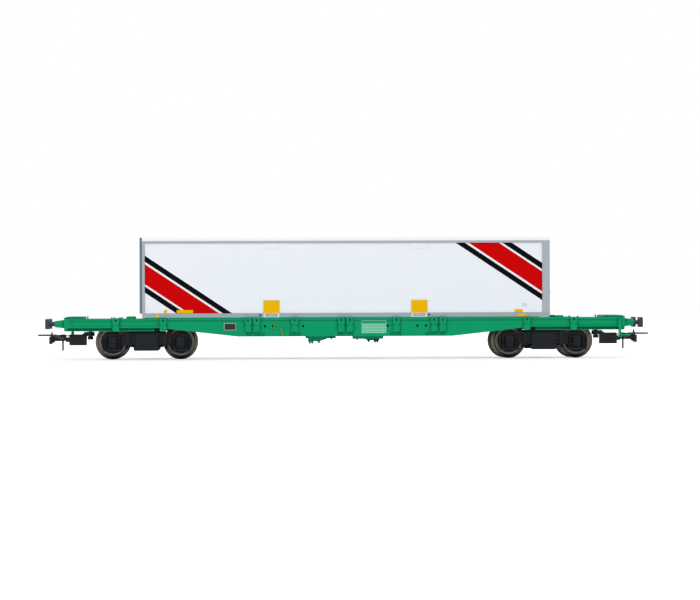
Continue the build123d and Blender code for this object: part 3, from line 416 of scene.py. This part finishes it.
def wheelMaterial(name, centreX):
    # dark disc, bronzed rim and a dark ring in the corner between tread and flange, with painted shade where
    # frames and sills are close
    mat, tree, paint = startMaterial(name, "zincGrey")
    x, _, z = objectAxes(tree)
    out = mathNode(tree, "SUBTRACT", x, centreX)
    up = mathNode(tree, "SUBTRACT", z, wheelSet["axleHeight"])
    radius = mathNode(tree, "SQRT", mathNode(tree, "ADD", mathNode(tree, "MULTIPLY", out, out),
                                             mathNode(tree, "MULTIPLY", up, up)))
    rim = mathNode(tree, "GREATER_THAN", radius, wheelSet["discRadius"])
    ring = between(tree, radius, *wheelSet["grooveRadius"])
    colour = mixColour(tree, rim, wheelSet["disc"], wheelSet["rim"])
    colour = mixColour(tree, mathNode(tree, "MULTIPLY", ring, 0.6), colour, wheelSet["groove"])
    # painted shade: the wheel darkens where frames, sills and the floor are close
    shade = tree.nodes.new("ShaderNodeAmbientOcclusion")
    shade.samples = 8
    shade.inputs["Distance"].default_value = wheelSet["shadeReach"] * mm
    aoShade = mathNode(tree, "SUBTRACT", 1.0, shade.outputs["AO"])
    paintedShadeMask = mathNode(tree, "MULTIPLY", aoShade, wheelSet["shadeGain"], clamp=True)
    colour = mixColour(tree, paintedShadeMask, colour, wheelSet["paintedShadeColour"])
    tree.links.new(colour, paint.inputs["Colour"])
    return mat


floorSet = {"pocketX": 28.0, "half": 2.95, "grey": (0.345, 0.430, 0.455, 1), "pale": (0.70, 0.73, 0.75, 1)}


def containerFloorMaterial():
    # grey rails with a pale field at each grapple recess
    mat, tree, paint = startMaterial("containerRail", "railGrey")
    x, _, _ = objectAxes(tree)
    away = mathNode(tree, "SUBTRACT", mathNode(tree, "ABSOLUTE", x), floorSet["pocketX"])
    pale = mathNode(tree, "LESS_THAN", mathNode(tree, "ABSOLUTE", away), floorSet["half"])
    tree.links.new(mixColour(tree, pale, floorSet["grey"], floorSet["pale"]), paint.inputs["Colour"])
    return mat


roofSet = {
    "edge": 13.9, "pitch": 6.12, "seam": 0.13, "skirt": 44.74,
    "top": (0.80, 0.815, 0.83, 1), "border": (0.96, 0.965, 0.97, 1), "line": (0.50, 0.515, 0.53, 1),
}


def roofMaterial():
    # sheets joined by narrow seams across the roof, inside a brighter border
    mat, tree, paint = startMaterial("roofSheets", "roofWhite")
    x, y, _ = objectAxes(tree)
    inside = mathNode(tree, "LESS_THAN", mathNode(tree, "ABSOLUTE", y), roofSet["edge"])
    seam = mathNode(tree, "LESS_THAN", mathNode(tree, "PINGPONG", x, roofSet["pitch"] / 2), roofSet["seam"])
    sheet = mixColour(tree, seam, roofSet["top"], roofSet["line"])
    tree.links.new(mixColour(tree, inside, roofSet["border"], sheet), paint.inputs["Colour"])
    return mat


def topRailMaterial():
    # grey rail below the white skirt of the roof
    mat, tree, paint = startMaterial("topRails", "railGrey")
    _, _, z = objectAxes(tree)
    skirt = mathNode(tree, "GREATER_THAN", z, roofSet["skirt"])
    rail = (*finishes["railGrey"][0], 1)
    tree.links.new(mixColour(tree, skirt, rail, roofSet["border"]), paint.inputs["Colour"])
    return mat


tableSet = {
    "x": (6.1, 15.4), "z": (9.7, 14.5), "proud": 0.04, "rows": 0.56, "columns": 0.75, "line": 0.16,
    "border": 0.15, "head": 1.1, "ink": 0.8,
    "green": (0.0030, 0.345, 0.122, 1), "pale": (0.38, 0.78, 0.63, 1),
}


def tableMaterial():
    # blank load table: a pale outline and ruled rows and columns with nothing in them
    mat, tree, paint = startMaterial("loadTable", "frameGreen")
    x, _, z = objectAxes(tree)
    x = mathNode(tree, "ABSOLUTE", x)
    row = mathNode(tree, "LESS_THAN", mathNode(tree, "PINGPONG", z, tableSet["rows"] / 2), tableSet["line"])
    column = mathNode(tree, "LESS_THAN", mathNode(tree, "PINGPONG", x, tableSet["columns"] / 2),
                      tableSet["line"] * 0.6)
    ruled = mathNode(tree, "MULTIPLY", mathNode(tree, "MAXIMUM", row, column),
                     mathNode(tree, "LESS_THAN", z, tableSet["z"][1] - tableSet["head"]))
    border = tableSet["border"]
    insideX = between(tree, x, tableSet["x"][0] + border, tableSet["x"][1] - border)
    insideZ = between(tree, z, tableSet["z"][0] + border, tableSet["z"][1] - border)
    edge = mathNode(tree, "SUBTRACT", 1.0, mathNode(tree, "MULTIPLY", insideX, insideZ))
    lines = mathNode(tree, "MULTIPLY", mathNode(tree, "MAXIMUM", ruled, edge), tableSet["ink"])
    tree.links.new(mixColour(tree, lines, tableSet["green"], tableSet["pale"]), paint.inputs["Colour"])
    return mat


def dress(node, mat):
    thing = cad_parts[node]
    thing.data.materials.clear()
    thing.data.materials.append(mat)


nodeFinish = {
    "bogie_": "bogieBlack", "brake_gear": "bogieBlack", "axle_": "axleSteel",
    "buffer_heads": "bufferSlate", "coupling_": "couplerBlack", "coupler_head": "couplerBlack",
    "coupler_loop": "loopMetal", "container_corner_posts": "railGrey", "container_top_rails": "railGrey",
    "container_door_rods": "zincGrey", "container_front_wall": "wallDarkGrey",
    "container_grapple_plates": "grappleYellow", "container_roof": "roofWhite",
    "container_doors": "roofWhite",
    "air_reservoir": "bogieBlack", "brake_cylinder": "bogieBlack",
    "brake_pull_rod": "bogieBlack", "lever_handles": "handleOlive",
    "brake_lever_brackets": "shadeGreen", "brake_plates": "shadeGreen",
}

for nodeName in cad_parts:
    chosen = "frameGreen"
    for start, finish in nodeFinish.items():
        if nodeName.startswith(start):
            chosen = finish
    dress(nodeName, mats[chosen])

dress("container_side_near", stripedMaterial("stripedNear", -1))
dress("container_side_far", stripedMaterial("stripedFar", 1))
dress("label_boards", boardMaterial())
dress("container_floor", containerFloorMaterial())
dress("container_roof", roofMaterial())
dress("container_top_rails", topRailMaterial())
wheelX = {}
for wheelName in ("wheels_1", "wheels_2", "wheels_3", "wheels_4"):
    low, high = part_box(wheelName)
    wheelX[wheelName] = (low.x + high.x) / 2 / mm
    dress(wheelName, wheelMaterial(wheelName + "Metal", wheelX[wheelName]))

print("tools for the pieces")


def addBox(bm, low, high, bevel=0.0):
    verts = bmesh.ops.create_cube(bm, size=1.0)["verts"]
    bmesh.ops.scale(bm, vec=Vector(high) - Vector(low), verts=verts)
    bmesh.ops.translate(bm, vec=(Vector(low) + Vector(high)) / 2, verts=verts)
    if bevel:
        edges = list({edge for vert in verts for edge in vert.link_edges})
        bmesh.ops.bevel(bm, geom=edges, offset=bevel, affect="EDGES", segments=1, profile=0.5, material=-1)


def addRod(bm, start, end, radius, sides=12, taper=1.0):
    start, end = Vector(start), Vector(end)
    turn = (end - start).to_track_quat("Z", "Y").to_matrix().to_4x4()
    bmesh.ops.create_cone(bm, cap_ends=True, segments=sides, radius1=radius, radius2=radius * taper,
                          depth=(end - start).length, matrix=Matrix.Translation((start + end) / 2) @ turn)


def addRivet(bm, place, way, radius=0.12, height=0.06):
    place, way = Vector(place), Vector(way)
    addRod(bm, place - way * 0.05, place + way * height, radius, 8, 0.55)


def addBolt(bm, place, way, radius=0.22, height=0.2):
    # washer and six-sided head
    place, way = Vector(place), Vector(way)
    addRod(bm, place - way * 0.05, place + way * height * 0.25, radius * 1.35, 12, 0.95)
    addRod(bm, place, place + way * height, radius, 6, 0.92)


def finishPiece(name, bm, mat, body, replaces=()):
    bmesh.ops.scale(bm, vec=(mm, mm, mm), verts=bm.verts)
    bmesh.ops.recalc_face_normals(bm, faces=bm.faces)
    mesh = bpy.data.meshes.new(name)
    bm.to_mesh(mesh)
    bm.free()
    mesh.materials.append(mat)
    piece = bpy.data.objects.new(name, mesh)
    bpy.context.collection.objects.link(piece)
    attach(piece, body)
    if replaces:
        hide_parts(*replaces)
    return piece


print("bogie details")

bogieSet = {
    "pivot": 75.2, "wheelbase": 25.7,
    "springOffset": 2.45, "springY": 13.45, "springFoot": 4.0, "springHead": 7.9, "core": 0.3,
    "springRadius": 0.62, "wire": 0.23, "turns": 4.5, "steps": 12,
    "boxFace": 13.8, "capFace": 14.1, "boxHalf": 1.15, "boxLow": 4.8, "boxHigh": 8.2, "capHeight": 6.5,
    "capRivets": (-0.75, 0.75), "footHeight": 4.1, "footBolts": (-3.8, -1.9, 0.0, 1.9, 3.8),
    "webRivets": (-8.4, -5.6, 5.6, 8.4), "webFace": 13.3, "webHeight": 9.7,
    "stay": (4.0, 7.1), "stayHalf": 6.8, "stayHeights": (9.5, 10.65),
    "rodShort": 7.4, "rodAcross": 4.2, "rodHeight": 4.9,
}


def addCoil(bm, x, y, low, high):
    # a wire ring spun up around the spring's axis
    radius, wire = bogieSet["springRadius"], bogieSet["wire"]
    steps = round(bogieSet["turns"] * bogieSet["steps"])
    start = Matrix.Translation((x + radius, y, low + wire)) @ Matrix.Rotation(math.radians(90), 4, "X")
    ring = bmesh.ops.create_circle(bm, segments=7, radius=wire, matrix=start)["verts"]
    edges = list({edge for vert in ring for edge in vert.link_edges})
    rise = (high - low - 2 * wire) / steps
    made = bmesh.ops.spin(bm, geom=ring + edges, cent=(x, y, 0), axis=(0, 0, 1), dvec=(0, 0, rise),
                          angle=math.tau * bogieSet["turns"], steps=steps, use_merge=False)
    last = [item for item in made["geom_last"] if isinstance(item, bmesh.types.BMEdge)]
    bmesh.ops.holes_fill(bm, edges=edges + last, sides=0)


def makeSprings(end, side):
    bm = bmesh.new()
    for y in (-bogieSet["springY"], bogieSet["springY"]):
        for axle in (-1, 1):
            for step in (-1, 1):
                x = side * bogieSet["pivot"] + axle * bogieSet["wheelbase"] / 2
                x = x + step * bogieSet["springOffset"]
                low, high = bogieSet["springFoot"], bogieSet["springHead"]
                addCoil(bm, x, y, low, high)
                addRod(bm, (x, y, low), (x, y, high), bogieSet["core"], 8)
    finishPiece("coilSprings" + end, bm, mats["bogieBlack"], "bogie_" + end.lower(),
                ["bogie_springs_" + end.lower()])


def makeBogieBolts(end, side):
    bm = bmesh.new()
    for y in (-1, 1):
        way = (0, y, 0)
        for axle in (-1, 1):
            x = side * bogieSet["pivot"] + axle * bogieSet["wheelbase"] / 2
            for dx in (-bogieSet["boxHalf"], bogieSet["boxHalf"]):
                for z in (bogieSet["boxLow"], bogieSet["boxHigh"]):
                    addBolt(bm, (x + dx, y * bogieSet["boxFace"], z), way, 0.17, 0.14)
            addRod(bm, (x, y * bogieSet["capFace"] - y * 0.05, bogieSet["capHeight"]),
                   (x, y * bogieSet["capFace"] + y * 0.16, bogieSet["capHeight"]), 0.5, 16, 0.8)
            for dx in bogieSet["capRivets"]:
                addRivet(bm, (x + dx, y * bogieSet["capFace"], bogieSet["capHeight"]), way, 0.14, 0.1)
        for dx in bogieSet["footBolts"]:
            x = side * bogieSet["pivot"] + dx
            addBolt(bm, (x, y * bogieSet["capFace"], bogieSet["footHeight"]), way, 0.16, 0.12)
        for dx in bogieSet["webRivets"]:
            x = side * bogieSet["pivot"] + dx
            addRivet(bm, (x, y * bogieSet["webFace"], bogieSet["webHeight"]), way, 0.15, 0.08)
    finishPiece("bogieBolts" + end, bm, mats["bogieBlack"], "bogie_" + end.lower())


def makeBrakeRods(end, side):
    # two push rods between the brake beams, with their forked ends
    bm = bmesh.new()
    reach = bogieSet["wheelbase"] / 2 - bogieSet["rodShort"]
    z = bogieSet["rodHeight"]
    for y in (-bogieSet["rodAcross"], bogieSet["rodAcross"]):
        x = side * bogieSet["pivot"]
        addRod(bm, (x - reach, y, z), (x + reach, y, z), 0.28, 10)
        for edge in (-reach, reach):
            addBox(bm, (x + edge - 0.6, y - 0.45, z - 0.4), (x + edge + 0.6, y + 0.45, z + 0.4), 0.1)
    finishPiece("brakeRods" + end, bm, mats["bogieBlack"], "bogie_" + end.lower())


def makeCrossStays(end, side):
    # the plates that tie the two side frames together inside the wheels
    bm = bmesh.new()
    near, far = bogieSet["stay"]
    low, high = bogieSet["stayHeights"]
    for step in (-1, 1):
        x = sorted((side * bogieSet["pivot"] + step * near, side * bogieSet["pivot"] + step * far))
        addBox(bm, (x[0], -bogieSet["stayHalf"], low), (x[1], bogieSet["stayHalf"], high), 0.1)
    finishPiece("crossStays" + end, bm, mats["bogieBlack"], "bogie_" + end.lower())


for endName, endSide in (("Left", -1), ("Right", 1)):
    makeSprings(endName, endSide)
    makeCrossStays(endName, endSide)
    makeBogieBolts(endName, endSide)
    makeBrakeRods(endName, endSide)

print("wagon details")

wagonSet = {
    "sillTop": 15.45, "sillFace": 14.5, "bracketFace": 15.0, "headstock": 106.2,
    # place of each folded spigot along the sill and height of its fold
    "brackets": ((1.615, 12.8), (19.25, 12.8), (33.64, 12.8), (36.87, 12.8), (68.89, 13.025), (86.7, 13.025)),
    "bracketHalf": 1.3, "rivetPitch": 2.6, "rivetLength": 104.0,
    "centreSill": ((66.0, -5.0, 10.85), (71.0, 5.0, 13.6)),
    "bead": (76.8, 13.75, 14.4),      # half length, inner and outer edge
    "holePlates": (28.9, 2.9, 11.9, (10.2, 14.9)),      # middle, half length, inner face and heights
    "deck": (99.5, 104.6), "deckTop": 16.25, "deckHalf": 13.0, "treadPitch": 0.95, "buffer": (10.06, 13.5),
    # the air pipe's corners on the right half: along, across and up
    "pipe": ((0.0, 9.6, 12.6), (57.0, 9.6, 12.6), (58.5, 6.2, 13.78), (101.0, 6.2, 13.78)),
    "pipeClips": (62.0, 75.2, 86.55),
    "tankBands": (4.0, 13.0), "tankMiddle": (8.5, -4.6, 12.15), "tankBandRadius": 2.32,
}


def makeSillRivets():
    bm = bmesh.new()
    count = round(wagonSet["rivetLength"] / wagonSet["rivetPitch"])
    for y in (-1, 1):
        for step in range(-count, count + 1):
            x = step * wagonSet["rivetPitch"]
            if min(abs(abs(x) - place) for place, _ in wagonSet["brackets"]) > wagonSet["bracketHalf"] + 0.3:
                addRivet(bm, (x, y * wagonSet["sillFace"], wagonSet["sillTop"] - 0.25), (0, y, 0), 0.10, 0.05)
    finishPiece("sillRivets", bm, mats["frameGreen"], "wagon")


def makeSillBeads():
    # low bead on the sill tops, under the container's rails
    bm = bmesh.new()
    reach, inner, outer = wagonSet["bead"]
    top = wagonSet["sillTop"]
    for low, high in ((-outer, -inner), (inner, outer)):
        addBox(bm, (-reach, low, top - 0.05), (reach, high, top + 0.22), 0.05)
    finishPiece("sillBeads", bm, mats["frameGreen"], "wagon")


def makeHolePlates():
    # plates behind the sills' round holes, in the darker shade green: painted shade that keeps the holes dark
    bm = bmesh.new()
    middle, reach, face, heights = wagonSet["holePlates"]
    for side in (-1, 1):
        for y in (-face, face - 0.3):
            low = (side * middle - reach, y, heights[0])
            high = (side * middle + reach, y + 0.3, heights[1])
            addBox(bm, low, high, 0.03)
    finishPiece("holePlates", bm, mats["shadeGreen"], "wagon")


def makeCentreSills():
    # stubs of the centre sill that run up to the body bolsters
    bm = bmesh.new()
    low, high = wagonSet["centreSill"]
    for side in (-1, 1):
        x = sorted((side * low[0], side * high[0]))
        addBox(bm, (x[0], low[1], low[2]), (x[1], high[1], high[2]), 0.15)
    finishPiece("centreSills", bm, mats["bogieBlack"], "wagon")


def makeSpigotPins():
    # hinge pin of each folded spigot, lying in its hinge line, and the eyes beside it
    bm = bmesh.new()
    for y in (-1, 1):
        for place, fold in wagonSet["brackets"]:
            for x in (-place, place):
                pinY = y * (wagonSet["bracketFace"] - 0.16)
                half = wagonSet["bracketHalf"]
                addRod(bm, (x - half - 0.15, pinY, fold), (x + half + 0.15, pinY, fold), 0.16, 10)
                for dx in (-0.75, 0.75):
                    addRivet(bm, (x + dx, y * (wagonSet["bracketFace"] - 0.06), fold - 1.3), (0, y, 0))
    finishPiece("spigotPins", bm, mats["frameGreen"], "wagon")


def makeDeckTreads():
    # raised lozenges on the two end decks
    bm = bmesh.new()
    low, high = wagonSet["deck"]
    rows = int((high - low) / wagonSet["treadPitch"])
    columns = int(2 * wagonSet["deckHalf"] / wagonSet["treadPitch"])
    for end in (-1, 1):
        for row in range(rows):
            for column in range(columns):
                x = end * (low + (row + 0.5) * wagonSet["treadPitch"])
                y = (column - (columns - 1) / 2) * wagonSet["treadPitch"]
                turn = Matrix.Rotation(math.radians(45 if (row + column) % 2 else -45), 4, "Z")
                place = Matrix.Translation((x, y, wagonSet["deckTop"] + 0.03)) @ turn
                place = place @ Matrix.Diagonal((1, 0.36, 1, 1))
                bmesh.ops.create_cone(bm, cap_ends=True, segments=6, radius1=0.34, radius2=0.2, depth=0.1,
                                      matrix=place)
    finishPiece("deckTreads", bm, mats["frameGreen"], "wagon")


def makeBufferBolts():
    bm = bmesh.new()
    middleY, middleZ = wagonSet["buffer"]
    face = wagonSet["headstock"] + 0.5
    for end in (-1, 1):
        for y in (-middleY, middleY):
            for dy in (-1.78, 1.78):
                for dz in (-1.2, 1.2):
                    addBolt(bm, (end * face, y + dy, middleZ + dz), (end, 0, 0), 0.14, 0.14)
    finishPiece("bufferBolts", bm, mats["frameGreen"], "wagon")


def makeLoadTables():
    bm = bmesh.new()
    lowX, highX = tableSet["x"]
    lowZ, highZ = tableSet["z"]
    face, proud = wagonSet["sillFace"], tableSet["proud"]
    addBox(bm, (lowX, -face - proud, lowZ), (highX, -face + 0.02, highZ), 0.01)
    addBox(bm, (-highX, face - 0.02, lowZ), (-lowX, face + proud, highZ), 0.01)
    finishPiece("loadTables", bm, tableMaterial(), "wagon")


def makeBrakePipe():
    # main air pipe through the cross members' holes, led inwards and clipped up above the bogies
    bm = bmesh.new()
    corners = [Vector(corner) for corner in wagonSet["pipe"]]
    for end in (-1, 1):
        run = [Vector((end * corner.x, corner.y, corner.z)) for corner in corners]
        for start, stop in zip(run, run[1:]):
            addRod(bm, start, stop, 0.35, 12)
        for corner in run[1:3]:
            bmesh.ops.create_uvsphere(bm, u_segments=12, v_segments=8, radius=0.37,
                                      matrix=Matrix.Translation(corner))
        y, z = run[-1].y, run[-1].z
        for x in wagonSet["pipeClips"]:
            low = (end * x - 0.4, y - 0.5, z - 0.45)
            high = (end * x + 0.4, y + 0.5, wagonSet["sillTop"] - 1.15)
            addBox(bm, low, high, 0.08)
    finishPiece("airPipe", bm, mats["bogieBlack"], "wagon")


def makeTankBands():
    bm = bmesh.new()
    middle, y, z = wagonSet["tankMiddle"]
    for x in wagonSet["tankBands"]:
        addRod(bm, (x - 0.35, y, z), (x + 0.35, y, z), wagonSet["tankBandRadius"], 24)
        addBox(bm, (x - 0.35, -5.0, 14.1), (x + 0.35, -4.2, 15.4), 0.08)
    addRod(bm, (middle, y, 9.4), (middle, y, 10.1), 0.3, 8)
    finishPiece("tankBands", bm, mats["bogieBlack"], "wagon")


makeSillRivets()
makeSillBeads()
makeHolePlates()
makeCentreSills()
makeSpigotPins()
makeDeckTreads()
makeBufferBolts()
makeLoadTables()
makeBrakePipe()
makeTankBands()

print("coupling details")

couplingSet = {
    "loopPivot": (107.3, 8.0), "cheek": 1.7,
    "pocket": (98.2, 104.8), "pocketSide": 1.95, "screwHeight": 8.7,
}


def makeCouplingPins(end, side):
    # heads of the loop's cross pin on the cheeks, and the screws of the pocket
    bm = bmesh.new()
    x, z = couplingSet["loopPivot"]
    for y in (-1, 1):
        root, tip = y * (couplingSet["cheek"] - 0.05), y * (couplingSet["cheek"] + 0.2)
        addRod(bm, (side * x, root, z), (side * x, tip, z), 0.5, 14, 0.8)
        for pocketX in couplingSet["pocket"]:
            inner = pocketX + (1.0 if pocketX < 100 else -1.0)
            place = (side * inner, y * couplingSet["pocketSide"], couplingSet["screwHeight"])
            addBolt(bm, place, (0, y, 0), 0.2, 0.12)
    finishPiece("couplingPins" + end, bm, mats["couplerBlack"], "coupling_" + end.lower())


for endName, endSide in (("Left", -1), ("Right", 1)):
    makeCouplingPins(endName, endSide)

print("container details")

containerSet = {
    "half": 77.7, "side": 14.15, "rail": 14.35, "panelLow": 17.35, "panelHigh": 43.85,
    "doorFace": 77.4, "doorHalf": 12.55, "doorLow": 16.75, "seal": 0.35, "rivetPitch": 2.2,
    "hingeShares": (0.08, 0.49, 0.9), "hingeBolts": (10.9, 11.6, 12.2), "lockRods": (3.2, 9.4), "padX": 28.0,
    "postRivets": (-76.3, 75.4), "frontRivets": 13.7, "railRivets": 34,
    # x range, z range and whether the plate is on the side wall or on the rail below it
    "yellowPlates": (((-63.8, -57.6), (17.4, 18.65), "side"), ((64.2, 67.3), (17.45, 18.6), "side"),
                     ((65.6, 68.7), (15.85, 16.8), "rail")),
    "yellowDots": ((-68.0, 18.15, 0.72, "side"), (-71.1, 16.55, 0.72, "rail")),
    "palePlates": (((67.3, 68.8), (19.6, 20.9), "side"),),
    "darkDots": (-32.2, 31.6),
}


def addPlate(bm, spanX, spanZ, level, thick=0.05):
    # the same plate on the near side and, seen from its own side, on the far one
    face = containerSet[level]
    addBox(bm, (spanX[0], -face - thick, spanZ[0]), (spanX[1], -face + 0.02, spanZ[1]), 0.012)
    addBox(bm, (-spanX[1], face - 0.02, spanZ[0]), (-spanX[0], face + thick, spanZ[1]), 0.012)


def makeYellowPlates():
    bm = bmesh.new()
    for spanX, spanZ, level in containerSet["yellowPlates"]:
        addPlate(bm, spanX, spanZ, level)
    for x, z, radius, level in containerSet["yellowDots"]:
        for side in (-1, 1):
            face = side * containerSet[level]
            addRod(bm, (-side * x, face, z), (-side * x, face + side * 0.05, z), radius, 20, 0.97)
    finishPiece("yellowPlates", bm, mats["grappleYellow"], "container")


def makePalePlates():
    bm = bmesh.new()
    for spanX, spanZ, level in containerSet["palePlates"]:
        addPlate(bm, spanX, spanZ, level)
    finishPiece("blankPlates", bm, mats["palePlate"], "container")
    bm = bmesh.new()
    top = containerSet["panelHigh"]
    for x in (-containerSet["padX"], containerSet["padX"]):
        addPlate(bm, (x - 3.0, x + 3.0), (top - 2.1, top), "side", 0.08)
    finishPiece("whitePlates", bm, mats["sideWhite"], "container")


def makeRailDots():
    # black discs for the holes in the bottom rail: painted shade inside the holes
    bm = bmesh.new()
    for x in containerSet["darkDots"]:
        for side in (-1, 1):
            face = side * containerSet["rail"]
            addRod(bm, (-side * x, face - side * 0.1, 16.6), (-side * x, face + side * 0.03, 16.6), 0.42, 14)
    finishPiece("railHoles", bm, mats["sealBlackAndHoleShade"], "container")


def makeDoorSeals():
    bm = bmesh.new()
    face, half, strip = containerSet["doorFace"], containerSet["doorHalf"], containerSet["seal"]
    low, high = containerSet["doorLow"], containerSet["panelHigh"]
    for y in (-half, -strip / 2, half - strip):
        addBox(bm, (face - 0.05, y, low), (face + 0.16, y + strip, high), 0.05)
    for z in (low, high - strip):
        addBox(bm, (face - 0.05, -half, z), (face + 0.16, half, z + strip), 0.05)
    finishPiece("doorSeals", bm, mats["sealBlackAndHoleShade"], "container")


def makeDoorHardware():
    # strap bolts, rod cams and the catches that hold the handles
    bm = bmesh.new()
    face, low = containerSet["doorFace"], containerSet["doorLow"]
    height = containerSet["panelHigh"] - low
    for y in (-1, 1):
        for share in containerSet["hingeShares"]:
            z = low + height * share
            for dy in containerSet["hingeBolts"]:
                addRivet(bm, (containerSet["half"] - 0.05, y * dy, z), (1, 0, 0), 0.13, 0.08)
        for rod in containerSet["lockRods"]:
            rodY = y * rod
            for z in (low + 0.55, containerSet["panelHigh"] - 0.6):
                addBox(bm, (face + 0.1, rodY - 0.55, z - 0.25), (face + 0.78, rodY + 0.55, z + 0.25), 0.06)
            gripZ = low + 0.3 + (height - 0.6) * 0.3
            addBox(bm, (face, rodY - 2.6, gripZ - 0.35), (face + 0.6, rodY - 1.9, gripZ + 0.9), 0.08)
    finishPiece("doorHardware", bm, mats["zincGrey"], "container")


def makeContainerRivets():
    bm = bmesh.new()
    low, high = containerSet["panelLow"] + 0.8, containerSet["panelHigh"] - 0.8
    pitch, rail = containerSet["rivetPitch"], containerSet["rail"]
    for row in range(int((high - low) / pitch) + 1):
        z = low + row * pitch
        for y in (-1, 1):
            for x in containerSet["postRivets"]:
                addRivet(bm, (x, y * rail, z), (0, y, 0))
            addRivet(bm, (-containerSet["half"], y * containerSet["frontRivets"], z), (-1, 0, 0))
    count = containerSet["railRivets"]
    for step in range(-count, count + 1):
        for y in (-1, 1):
            addRivet(bm, (step * pitch, y * rail, containerSet["panelHigh"] + 0.6), (0, y, 0), 0.1)
    finishPiece("containerRivets", bm, mats["railGrey"], "container")


makeYellowPlates()
makePalePlates()
makeRailDots()
makeDoorSeals()
makeDoorHardware()
makeContainerRivets()

print("finish")

bpy.context.scene.view_settings.view_transform = "Standard"
